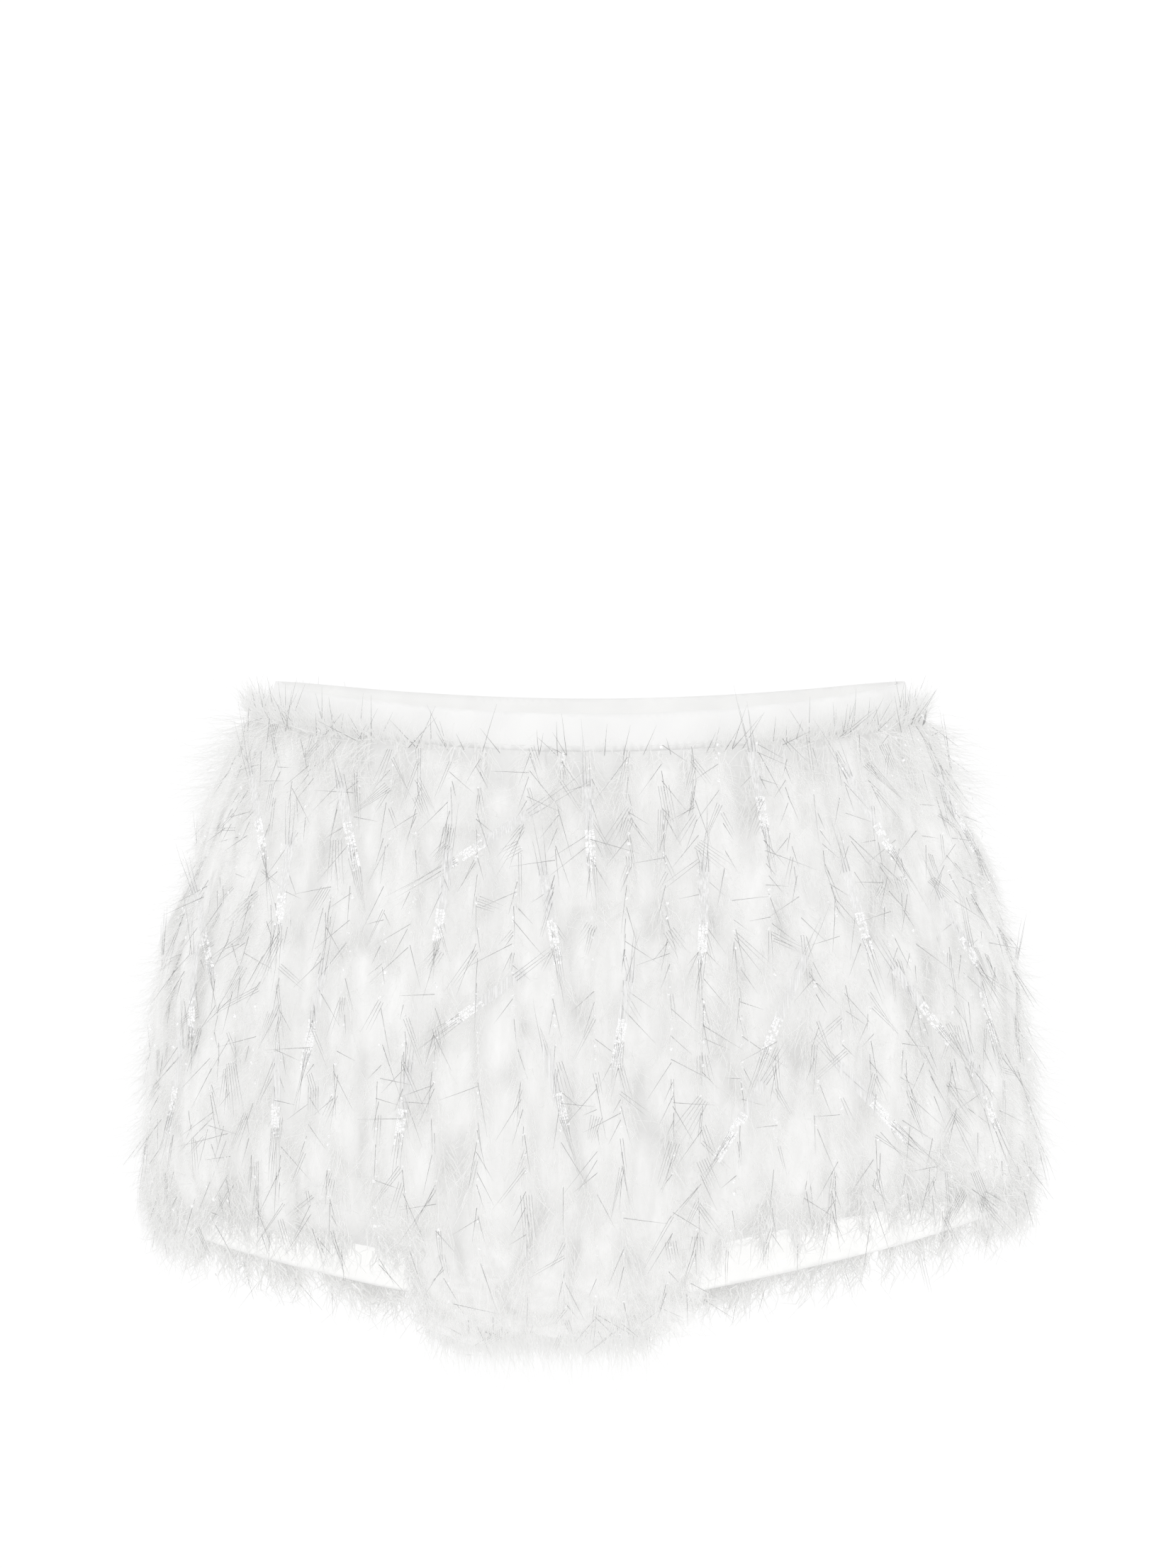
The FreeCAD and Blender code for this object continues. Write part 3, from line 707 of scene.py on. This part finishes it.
def fibres(root, heading, length, width, droop, curl, points=5, sides=3):
    """Points and faces of many tapering tubes, parted at the zip."""
    count = len(root)
    along = np.linspace(0, 1, points)[None, :, None]
    heading = unit(heading)
    helper = unit(rng.normal(size=(count, 3)))
    side = unit(np.cross(heading, helper))
    other = np.cross(heading, side)
    phase = rng.uniform(0, 2 * np.pi, (count, 1, 1))
    turns = rng.uniform(*CURL_TURNS, (count, 1, 1)) * 2 * np.pi
    wiggle = curl[:, None, None] * along
    line = heading[:, None] * along + GRAVITY * droop[:, None, None] * along**2
    line = line + side[:, None] * wiggle * np.sin(turns * along + phase)
    line = line + other[:, None] * wiggle * np.cos(turns * along + phase)
    centre = root[:, None] + line * length[:, None, None]
    thick = width[:, None, None] * (1 - TAPER * along**1.5) / 2
    rings = []
    for step in range(sides):
        angle = 2 * np.pi * step / sides
        rings.append(centre + thick * (side[:, None] * math.cos(angle) + other[:, None] * math.sin(angle)))
    points_xyz = off_zip(np.stack(rings, 2).reshape(-1, 3), np.repeat(root[:, 1], points * sides))
    return points_xyz, tube_faces(count, points, sides)


def leaning(pick, fan, lift):
    """Headings that turn by fan from the way down and rise by lift from the cloth, combed off the zip."""
    out, fall = outs[pick], falls[pick]
    across = np.cross(out, fall)
    heading = fall * np.cos(fan)[:, None] + across * np.sin(fan)[:, None]
    heading = heading * np.cos(lift)[:, None] + out * np.sin(lift)[:, None]
    near = (roots[pick, 0] > 0.5 * half_wide) & (np.abs(roots[pick, 1]) < COMBED)
    heading[near, 1] = np.abs(heading[near, 1]) * np.sign(roots[pick][near, 1])
    return heading


print("a fibre has", fibres(roots[:1], outs[:1], *[np.ones(1)] * 4)[0].shape[0], "points")

# %% [markdown]
# ## Feather fringe
# Each place on a string carries a few fibres that fan out to both sides. Clumps lean the same way, which
# gives the yarn its tufts; the hem's fibres are shorter, thicker, denser and much curlier than the others.

# %% Feathers
FIBRES_PER_PLACE = {"upper": 4, "lower": 4, "hem": 7}
FIBRE_LENGTH = {"upper": (10, 20), "lower": (11, 21), "hem": (9, 17)}
FIBRE_WIDTH = {"upper": (0.28, 0.62), "lower": (0.28, 0.66), "hem": (0.5, 1.05)}
FIBRE_CURL = {"upper": 1.0, "lower": 1.0, "hem": 4.6}
HALO_SHARE = 0.22
TOP_ROWS = 10 * MM
SHOULDER, SHOULDER_LONGER = 45 * MM, 1.7
CLUMP_WAVES = np.array([[210.0, 170.0, 95.0], [-90.0, 240.0, 160.0]])
CLUMP_LEAN, FAN = 0.3, 0.45
ROOT_SPREAD = 2.6 * MM


def feather_band(node):
    """Points and faces of all the feathers that stand for one CAD fringe band."""
    band = node.split("_")[1]
    pick = np.repeat(np.flatnonzero(owners == node), FIBRES_PER_PLACE[band])
    count = len(pick)
    clump = sum(np.sin(roots[pick] @ wave) for wave in CLUMP_WAVES)
    fan = CLUMP_LEAN * clump + rng.normal(0, FAN, count)
    halo = rng.random(count) < HALO_SHARE
    lift = np.where(halo, rng.uniform(0.6, 1.3, count), np.clip(rng.normal(0.4, 0.2, count), 0.08, 0.9))
    upward = (downs[pick] < TOP_ROWS) & (rng.random(count) < 0.5)
    fan = np.where(upward, np.pi + rng.normal(0, 0.6, count), fan)
    low, high = FIBRE_LENGTH[band]
    length = rng.uniform(low, high, count) * MM * np.where(upward, 0.6, 1.0)
    shoulder = halo & (downs[pick] < SHOULDER)
    length = np.where(shoulder, length * SHOULDER_LONGER, length)
    curl = rng.uniform(0.02, 0.1, count) * FIBRE_CURL[band]
    droop = np.where(shoulder, 0.05, rng.uniform(0.1, 0.4, count))
    width = rng.uniform(*FIBRE_WIDTH[band], count) * MM * np.where(halo, 0.6, 1.0)
    across = np.cross(outs[pick], falls[pick])
    start = roots[pick] + across * rng.normal(0, ROOT_SPREAD, count)[:, None]
    start = start + outs[pick] * rng.uniform(0.5, 4.0, count)[:, None] * MM
    return fibres(start, leaning(pick, fan, lift), length, width, droop, curl)


total = 0
for node in FRINGES:
    points, quads = feather_band(node)
    piece = mesh_piece(node.replace("fringe", "feathers"), points, quads, [FEATHER])
    settle(piece, "feather_fringe", node)
    total += len(quads)
print("feather faces", total)

# %% [markdown]
# The softest fibres stand out furthest. They are so thin that they only blur the outline, and near the
# waist seam they also rise over the band.

# %% Halo
HALO_FIBRES = 5200
HALO_LENGTH = (16, 30)
HALO_WIDTH = (0.12, 0.24)
HALO_FAN = 0.8
HALO_RISE, HALO_SHORT = 1.45, 0.6


def halo_fibres(face):
    """Points and faces of the finest, longest fibres of one face."""
    pick = rng.choice(places_on(face), HALO_FIBRES)
    rise = np.where(downs[pick] < SHOULDER, HALO_RISE, 1.0)
    fan = rng.normal(0, HALO_FAN, HALO_FIBRES)
    upward = rng.random(HALO_FIBRES) < 0.5
    fan = fan + np.where(downs[pick] < TOP_ROWS, np.pi * upward, 0)
    lift = rng.uniform(0.5, 1.4, HALO_FIBRES)
    length = rng.uniform(*HALO_LENGTH, HALO_FIBRES) * MM * rise
    length = length * np.where(owners[pick] == "", HALO_SHORT, 1.0)
    near_hem = np.char.startswith(owners[pick], "fringe_hem")
    length = np.where(near_hem, length * HALO_SHORT, length)
    width = rng.uniform(*HALO_WIDTH, HALO_FIBRES) * MM
    return fibres(roots[pick] + outs[pick] * MM, leaning(pick, fan, lift), length, width,
                  rng.uniform(0.0, 0.25, HALO_FIBRES), rng.uniform(0.03, 0.12, HALO_FIBRES))


for face in FACES:
    settle(mesh_piece(f"halo_{face}", *halo_fibres(face), [FEATHER]), "feather_fringe")
print("halo fibres", 2 * HALO_FIBRES)

# %% [markdown]
# ## Petals
# Long cut slips of sheer cloth follow the strings down. They overlap like tiles and thin out to nothing
# at their edges, so that from outside they join into one soft pale ground under the loose fibres.

# %% Petal slips
PETAL_STEP = 17
PETAL_LONG = (42, 78)
PETAL_WIDE = (21, 34)
PETAL_LIFT, PETAL_BOW, PETAL_CUP = (2, 6), (1.5, 5), (1, 3)
PETAL_LEAN, PETAL_SLIP, RIPPLE = 0.2, 4, 0.7 * MM
PETAL_ROWS, PETAL_COLUMNS = 11, 7
SHORTEST_PETAL = 12


def petal(path, at, steps):
    """Points, faces and body of one slip that starts at a place of a string and follows it down."""
    index = np.round(np.linspace(at, at + steps, PETAL_ROWS)).astype(int)
    point, out, fall = (path[i][index] for i in range(3))
    across = np.cross(out, fall)
    lean, wide = rng.normal(0, PETAL_LEAN), rng.uniform(*PETAL_WIDE) * MM
    slip = rng.normal(0, PETAL_SLIP) * MM
    lift, bow, cup = (rng.uniform(*span) * MM for span in (PETAL_LIFT, PETAL_BOW, PETAL_CUP))
    t = np.linspace(0, 1, PETAL_ROWS)[:, None]
    s = np.linspace(-1, 1, PETAL_COLUMNS)[None, :]
    outline = 0.55 + 0.45 * np.sin(np.pi * np.clip(t * 1.05, 0, 1)) ** 0.7
    ripple = RIPPLE * np.sin(7 * t + 5 * s + rng.uniform(0, 6))
    rise = lift + bow * np.sin(np.pi * t * 0.85) - cup * s**2 + ripple
    beside = s * outline * wide / 2 + t * lean * steps * STRING_STEP + slip
    grid = point[:, None] + across[:, None] * beside[..., None] + out[:, None] * rise[..., None]
    body = np.clip((1 - np.abs(s) ** 2.5) * np.clip(t * 6, 0, 1) * np.clip((1 - t) * 3, 0, 1), 0, 1)
    grid = off_zip(grid.reshape(-1, 3), np.full(body.size, point[0, 1]))
    return grid, grid_faces(PETAL_ROWS, PETAL_COLUMNS), body.ravel()


def petals(face):
    made = []
    for path in strings:
        for at in range(int(rng.integers(-6, PETAL_STEP - 6)), len(path[0]), PETAL_STEP):
            at = max(at, 0)
            steps = min(int(rng.uniform(*PETAL_LONG) * MM / STRING_STEP), len(path[0]) - 1 - at)
            if (path[0][at, 1] < 0) == (face == "front") and steps > SHORTEST_PETAL:
                made.append(petal(path, at, steps))
    return made


for face in FACES:
    slips = petals(face)
    points, quads = merge([slip[:2] for slip in slips])
    body = np.concatenate([slip[2] for slip in slips])
    settle(mesh_piece(f"petals_{face}", points, quads, [PETAL], body=body), "organza")
    print("petals", face, len(slips))

# %% [markdown]
# ## Silver threads
# Straight slivers of metal-coated film stand in the fringe, singly and in small parallel bundles. They are
# stiff, so each is a very thin fibre that neither droops nor curls.

# %% Tinsel
TINSEL_PLACES = 1150
TINSEL_WIDE, BUNDLE_WIDE = 0.37 * MM, 0.27 * MM
TINSEL_APART = 1.25 * MM
TINSEL_LONG, STIFF = (8, 26), 0.004
TINSEL_DEPTH = (9, 18)
BUNDLE_SIZES, BUNDLE_ODDS = (1, 2, 3, 5), (0.74, 0.14, 0.08, 0.04)
ASKEW, ASKEW_SHARE, UPWARD_SHARE = 1.6, 0.3, 0.6
SIDE_SHARE, SUNK_AT_SIDES = 0.12, 0.25


def depth_at(low, high, out):
    """A random height over the cloth; less at the sides, where metal would stand out of the outline."""
    return rng.uniform(low, high) * MM * (SUNK_AT_SIDES + (1 - SUNK_AT_SIDES) * abs(out[1]))


def tinsel(face):
    """Parts of all the threads of one face, bundle by bundle."""
    pool = places_on(face)
    weight = SIDE_SHARE + np.abs(outs[pool, 1])
    parts = []
    for at in rng.choice(pool, TINSEL_PLACES, replace=False, p=weight / weight.sum()):
        bundle = int(rng.choice(BUNDLE_SIZES, p=BUNDLE_ODDS))
        askew = bundle == 1 and rng.random() < ASKEW_SHARE
        turn = rng.uniform(-ASKEW, ASKEW) if askew else rng.normal(0, FAN)
        if downs[at] < 2 * TOP_ROWS and rng.random() < UPWARD_SHARE:
            turn += math.pi
        heading = leaning(np.array([at]), np.array([turn]), rng.uniform(0.0, 0.5, 1))
        beside = np.cross(heading, outs[at : at + 1])
        spread = (np.arange(bundle) - (bundle - 1) / 2)[:, None]
        start = roots[at] + outs[at] * depth_at(*TINSEL_DEPTH, outs[at]) + beside * spread * TINSEL_APART
        splay = heading + beside * spread * rng.normal(0, 0.03)
        length = rng.uniform(*TINSEL_LONG) * MM * rng.uniform(0.75, 1.1, bundle)
        wide = np.full(bundle, TINSEL_WIDE if bundle == 1 else BUNDLE_WIDE)
        parts.append(fibres(start, splay, length, wide, np.zeros(bundle), np.full(bundle, STIFF), points=3))
    return parts


for face in FACES:
    threads = mesh_piece(f"silver_threads_{face}", *merge(tinsel(face)), [TINSEL], smooth=False)
    settle(threads, "silver_strip")
print("tinsel places", 2 * TINSEL_PLACES)

# %% [markdown]
# Loose specks of foil cling to the yarns. Each is one small tilted plate, bright from some sides and dull
# from others, with a painted glow on top that keeps it shining as a painted glint.

# %% Foil specks
SPECKS = 900
SPECK_SIZE = (0.6, 1.5)
SPECK_DEPTH = (6, 16)
SPECK_TILT = 0.35


def specks(face):
    pick = rng.choice(places_on(face), SPECKS, replace=False)
    centre = roots[pick] + outs[pick] * rng.uniform(*SPECK_DEPTH, SPECKS)[:, None] * MM
    normal = unit(outs[pick] + rng.normal(0, SPECK_TILT, (SPECKS, 3)))
    u = unit(np.cross(normal, rng.normal(size=(SPECKS, 3))))
    u = u * (rng.uniform(*SPECK_SIZE, SPECKS) * MM / 2)[:, None]
    v = unit(np.cross(normal, u)) * (rng.uniform(*SPECK_SIZE, SPECKS) * MM / 2)[:, None]
    corners = np.stack([centre - u - v, centre + u - v, centre + u + v, centre - u + v], 1).reshape(-1, 3)
    return off_zip(corners, np.repeat(roots[pick, 1], 4)), np.arange(4 * SPECKS).reshape(-1, 4)


for face in FACES:
    settle(mesh_piece(f"foil_specks_{face}", *specks(face), [GLITTER_WITH_PAINTED_GLOW], smooth=False), "silver_strip")
print("specks", 2 * SPECKS)

# %% [markdown]
# ## Woven silver strips
# Here and there the fringe holds a strip as wide as a shoelace: a sheer ribbon, then a patch of glitter
# facets, then the bare silver warp threads, which fray out at the end. The CAD holds a plain bar at each
# place. The bars of one face are a single mesh, so they are first told apart by walking along its edges.

# %% Bars of the CAD strips
def bars(node):
    """Centre and length of every separate bar in a node."""
    made = bmesh.new()
    made.from_mesh(nodes[node].data)
    bmesh.ops.remove_doubles(made, verts=made.verts, dist=WELD)
    left, found = set(made.verts), []
    while left:
        stack, group = [left.pop()], []
        while stack:
            vert = stack.pop()
            group.append(vert.co[:])
            for edge in vert.link_edges:
                other = edge.other_vert(vert)
                if other in left:
                    left.remove(other)
                    stack.append(other)
        corners = np.array(sorted(group))
        centre = (corners.min(0) + corners.max(0)) / 2
        found.append((tuple(centre), 2 * float(np.linalg.norm(corners - centre, axis=1).max())))
    made.free()
    return sorted(found)


strip_bars = {face: bars(f"silver_strips_{face}") for face in FACES}
bar_long = strip_bars["front"][0][1]
print("bars", [len(found) for found in strip_bars.values()], "long", round(bar_long / MM, 1), "mm")

# %% [markdown]
# A loose strip has slipped a little from its bar's place, so each takes the ways out and down of a random
# place of a string nearby. The facets are small tilted plates, the threads are tapering tubes.

# %% Strips
STRIP_WIDE = 4.6 * MM
STRIP_SLIP = 15 * MM
STRIP_DEPTH = (13, 19)
STRIP_LONG, STRIP_LEAN = (0.95, 1.45), 0.38
FACET, FACET_TILT, FACET_COLUMNS = 1.3 * MM, 0.3, 3
FACET_ROWS, FACETS_LOST = (11, 19), 0.2
WARP_THREADS = 5
RIBBON_ROWS, RIBBON_COLUMNS = 8, 4


def silver_strip(centre, long):
    """Parts and material tags of one strip, near a CAD bar with this centre and length."""
    gaps = np.linalg.norm(roots + outs * 15 * MM - centre, axis=1)
    near = np.flatnonzero(gaps < max(STRIP_SLIP, gaps.min() + MM))
    at = int(rng.choice(near))
    thin, down = outs[at], falls[at]
    centre = roots[at] + thin * depth_at(*STRIP_DEPTH, thin)
    long = long * rng.uniform(*STRIP_LONG)
    turn = rng.normal(0, STRIP_LEAN)
    side = np.cross(thin, down)
    down, side = down * math.cos(turn) + side * math.sin(turn), side * math.cos(turn) - down * math.sin(turn)
    rows = np.linspace(-0.7, 0.02, RIBBON_ROWS)[:, None, None]
    columns = np.linspace(-0.5, 0.5, RIBBON_COLUMNS)[None, :, None]
    bend = rng.uniform(-1.5, 1.5) * MM
    ribbon = centre + down * rows * long + side * columns * STRIP_WIDE + thin * bend * rows**2 * 4
    tiles, faces = [ribbon.reshape(-1, 3)], [grid_faces(RIBBON_ROWS, RIBBON_COLUMNS)]
    tags, start = [0] * len(faces[0]), RIBBON_ROWS * RIBBON_COLUMNS
    for row in range(int(rng.integers(*FACET_ROWS))):
        for column in range(FACET_COLUMNS):
            if rng.random() < FACETS_LOST:
                continue
            spot = centre + down * (row * FACET * 1.05 - 0.06 * long) + side * (column - 1) * FACET * 1.15
            spot = spot + thin * (0.35 * MM + rng.uniform(0, 0.3) * MM)
            tilt_a, tilt_b = rng.normal(0, FACET_TILT, 2)
            u, v = unit(down + thin * tilt_a) * FACET / 2, unit(side + thin * tilt_b) * FACET / 2
            tiles.append(np.array([spot - u - v, spot - u + v, spot + u + v, spot + u - v]))
            faces.append(np.array([[start, start + 1, start + 2, start + 3]]))
            tags.append(1)
            start += 4
    tiles = np.concatenate(tiles)
    parts = [(off_zip(tiles, np.full(len(tiles), centre[1])), np.concatenate(faces))]
    for end, first in ((1, 0.22), (-1, 0.55)):
        threads = WARP_THREADS if end > 0 else WARP_THREADS - 2
        spread = ((np.arange(threads) - (threads - 1) / 2) / threads)[:, None]
        root = centre + down * end * first * long + side * spread * STRIP_WIDE + thin * 0.4 * MM
        fray = rng.normal(0, 0.05, (threads, 1)) + spread * rng.uniform(-0.25, 0.15)
        heading = down * end + side * fray + thin * rng.normal(0.08, 0.06, (threads, 1))
        length = rng.uniform(0.35, 0.75, threads) * long
        thread = fibres(root, heading, length, np.full(threads, BUNDLE_WIDE), np.zeros(threads),
                        np.full(threads, 0.01), points=4)
        parts.append(thread)
        tags += [2] * len(thread[1])
    return parts, tags


for face in FACES:
    parts, tags = [], []
    for bar in strip_bars[face]:
        one, one_tags = silver_strip(*bar)
        parts += one
        tags += one_tags
    points, quads = merge(parts)
    strip = mesh_piece(f"woven_strips_{face}", points, quads, [RIBBON, GLITTER_WITH_PAINTED_GLOW, TINSEL], tags, smooth=False)
    settle(strip, "silver_strip", f"silver_strips_{face}")
print("strips done")

# %% [markdown]
# ## Waist stitching
# The band is sewn to the shell by machine: short stitches of equal length, just above the seam. A ray
# from the middle of the waist finds the band; the lowest height that still meets it is the seam.

# %% Stitches on the waistband
STITCH_COUNT = 230
STITCH_LONG = 2.3 * MM
STITCH_WIDE = 0.5 * MM
SEAM_LIFT = 2.2 * MM
BAND_TOP, BAND_FOOT, BAND_STEP = 0.008, -0.030, 0.5 * MM
ZIP_GAP = 0.06
bands, _ = tree_of([f"waistband_{face}" for face in FACES])


def seam_point(around):
    """A point on the outside of the band, a little above its seam, and the way out."""
    way = Vector((half_wide * math.cos(around), half_deep * math.sin(around), 0)).normalized()
    found = None
    for height in np.arange(BAND_TOP, BAND_FOOT, -BAND_STEP):
        if bands.ray_cast(Vector((0, 0, height)), way)[0] is not None:
            found = height
    hit, normal, _, _ = bands.ray_cast(Vector((0, 0, found + SEAM_LIFT)), way)
    far, far_normal, _, _ = bands.ray_cast(hit + way * JUST_PAST, way)
    hit, normal = (far, far_normal) if far is not None else (hit, normal)
    return np.array(hit), np.array(normal if normal.dot(way) > 0 else -normal)


angles = [a for a in np.linspace(-math.pi, math.pi, STITCH_COUNT, endpoint=False) if abs(a) > ZIP_GAP]
seam, seam_out = (np.array(rows) for rows in zip(*(seam_point(a) for a in angles)))
seam = seam + folds(seam)
seam_way = unit(np.roll(seam, -1, 0) - seam)
stitch_points = fibres(seam + seam_out * 0.12 * MM, seam_way, np.full(len(seam), STITCH_LONG),
                       np.full(len(seam), STITCH_WIDE), np.zeros(len(seam)), np.zeros(len(seam)), points=4)
settle(mesh_piece("waist_stitches", *stitch_points, [FEATHER]), "organza")
print("stitches", len(seam))

# %% [markdown]
# The topmost fibres stand up over the band, thickly at the hips and only here and there in the middle,
# and silver threads cross it too. They start just under the seam.

# %% Fibres over the band
BROW_FIBRES, BROW_SILVER = 3400, 190
BROW_FROM, BROW_TO = 45 * MM, 120 * MM
BROW_FAN, BROW_LIFT = 0.55, (0.1, 0.95)
BROW_BELOW = 5 * MM
ZIP_ANGLE = 0.16


def over_band(count, length, width, droop, curl, middle_share):
    """Upward fibres from the seam; middle_share is how many stand at the centre against the hips."""
    share = np.clip((np.abs(seam[:, 0]) - BROW_FROM) / (BROW_TO - BROW_FROM), 0, 1) + middle_share
    share = share * (np.abs(np.array(angles)) > ZIP_ANGLE)
    pick = rng.choice(len(seam), count, p=share / share.sum())
    up = np.cross(seam_way[pick], seam_out[pick])
    up = up * np.sign(up[:, 2:])
    fan, lift = rng.normal(0, BROW_FAN, count)[:, None], rng.uniform(*BROW_LIFT, count)[:, None]
    heading = up * np.cos(fan) + seam_way[pick] * np.sin(fan)
    heading = heading * np.cos(lift) + seam_out[pick] * np.sin(lift)
    start = seam[pick] - up * BROW_BELOW + seam_out[pick] * rng.uniform(1, 4, count)[:, None] * MM
    return fibres(start, heading, rng.uniform(*length, count) * MM, rng.uniform(*width, count) * MM,
                  rng.uniform(*droop, count), np.full(count, curl))


brow = over_band(BROW_FIBRES, (9, 21), (0.2, 0.45), (-0.1, 0.3), 0.08, 0.10)
settle(mesh_piece("brow_fibres", *brow, [FEATHER]), "feather_fringe")
lines = over_band(BROW_SILVER, (10, 24), (0.36, 0.4), (0, 0.01), 0.004, 0.6)
settle(mesh_piece("brow_silver", *lines, [TINSEL], smooth=False), "silver_strip")
print("fibres over the band", BROW_FIBRES)

# %% [markdown]
# ## Zip
# The zip is a nylon coil: two spirals of stiff thread, one on each tape, that lock into each other. A
# curve with a round bevel makes each spiral; half a turn between the two rows lets their loops mesh.

# %% Coil, tapes and metal parts
COIL_WIRE = 0.36 * MM
COIL_PITCH = 1.5 * MM
COIL_STEPS = 10


def coil(face, phase):
    """A spiral along the middle of a CAD coil row."""
    node = f"zip_coil_{face}"
    corners = np.array([v.co[:] for v in nodes[node].data.vertices])
    middle = corners.mean(0)
    _, _, axes = np.linalg.svd(corners - middle, full_matrices=False)
    line, wide, high = axes
    if line[2] > 0:
        line = -line
    reach = [np.abs((corners - middle) @ axis).max() for axis in (line, wide, high)]
    turns = int(2 * reach[0] / COIL_PITCH)
    step = np.arange(turns * COIL_STEPS)
    angle = 2 * np.pi * step / COIL_STEPS + phase
    path = middle + line * ((step / len(step) - 0.5) * 2 * reach[0])[:, None]
    path = path + wide * ((reach[1] - COIL_WIRE) * np.cos(angle))[:, None]
    path = path + high * ((reach[2] - COIL_WIRE) * np.sin(angle))[:, None]
    curve = bpy.data.curves.new(f"coil_{face}", "CURVE")
    curve.dimensions = "3D"
    curve.bevel_depth, curve.bevel_resolution, curve.use_fill_caps = COIL_WIRE, 1, True
    spline = curve.splines.new("POLY")
    spline.points.add(len(path) - 1)
    spline.points.foreach_set("co", np.c_[path, np.ones(len(path))].ravel())
    curve.materials.append(NYLON)
    settle(placed(f"zip_spiral_{face}", curve), "zip_coil", node)
    print(node, "turns", turns, "half sizes mm", [round(r * 1000, 2) for r in reach])


for index, face in enumerate(FACES):
    coil(face, math.pi * index)
    eased_cloth(f"zip_tape_{face}", f"zip_ribbon_{face}", ZIP_TAPE, "zip_tape")
eased_cloth("care_label", "care_tab", SATIN, "label_satin")

METAL_PARTS = {"zip_slider": ENAMEL, "zip_pull": ENAMEL, "zip_top_stops": NYLON, "zip_bottom_stop": NYLON,
               "waist_hook": NICKEL, "waist_eye": NICKEL}
for node, finish in METAL_PARTS.items():
    for place in nodes[node].material_slots:
        place.material = finish
print("metal parts", len(METAL_PARTS))

# %% [markdown]
# ## Studio
# The garment floats in even white light, as such a piece is shown for sale. The picture is high key: the
# world is a little brighter than white, and the view's gamma lifts the middle tones.

# %% World and tone
WORLD_LIGHT = 1.03
HIGH_KEY = 1.9
scene = bpy.context.scene
scene.view_settings.view_transform = "Standard"
scene.view_settings.look = "None"
scene.view_settings.gamma = HIGH_KEY
world = bpy.data.worlds.new("white_studio")
world.use_nodes = True
background = world.node_tree.nodes["Background"].inputs
background["Color"].default_value = (1, 1, 1, 1)
background["Strength"].default_value = WORLD_LIGHT
scene.world = world
print("world", WORLD_LIGHT, "gamma", HIGH_KEY)

# %% [markdown]
# The floor is one very large face, so far below that no shadow of the garment shows on it.

# %% Floor
FLOOR_DROP, FLOOR_REACH = 0.9, 60.0
FLOOR_Z = cad_box[0].z - FLOOR_DROP
floor_mesh = bpy.data.meshes.new("floor")
corners = [(x * FLOOR_REACH, y * FLOOR_REACH, FLOOR_Z) for x, y in ((-1, -1), (1, -1), (1, 1), (-1, 1))]
floor_mesh.from_pydata(corners, [], [(0, 1, 2, 3)])
floor = placed("floor", floor_mesh)
floor_finish = Recipe("pale_floor", Roughness=0.9)
floor_finish.set(Base_Color=floor_finish.blend(floor_finish.noise(3, 2.0), tone(0.985), tone(0.995)))
floor_mesh.materials.append(floor_finish.material)
print("floor at", round(FLOOR_Z, 3))


# %% [markdown]
# The world gives nearly all the light. Two weak lamps in front only lend the silver a direction to shine in.

# %% Lamps
def soft_light(name, place, aim, width, power):
    data = bpy.data.lights.new(name, "AREA")
    data.shape, data.size, data.energy = "SQUARE", width, power
    lamp = placed(name, data)
    lamp.location = place
    lamp.rotation_euler = (Vector(aim) - Vector(place)).to_track_quat("-Z", "Y").to_euler()


middle = (cad_box[0] + cad_box[1]) / 2
soft_light("key_light", (-1.2, -1.8, 1.6), middle, 1.2, 6)
soft_light("fill_light", (1.8, -1.4, 0.4), middle, 1.6, 4)
print("lamps aim at", [round(v, 3) for v in middle])

# %% [markdown]
# The camera looks straight along +Y. Its lens follows from how far away it stands and from how tall a piece
# of the room has to fill the picture.

# %% Camera
CAMERA_AWAY = 4.0
CAMERA_X, CAMERA_Z = -0.001, -0.0394
FRAME_TALL = 0.7211
FILM_TALL = 36.0
camera_data = bpy.data.cameras.new("camera")
camera_data.lens = FILM_TALL * CAMERA_AWAY / FRAME_TALL
camera = placed("camera", camera_data)
camera.location = (CAMERA_X, -CAMERA_AWAY, CAMERA_Z)
camera.rotation_euler = (math.pi / 2, 0, 0)
scene.camera = camera
print("lens", round(camera_data.lens, 1), "mm")
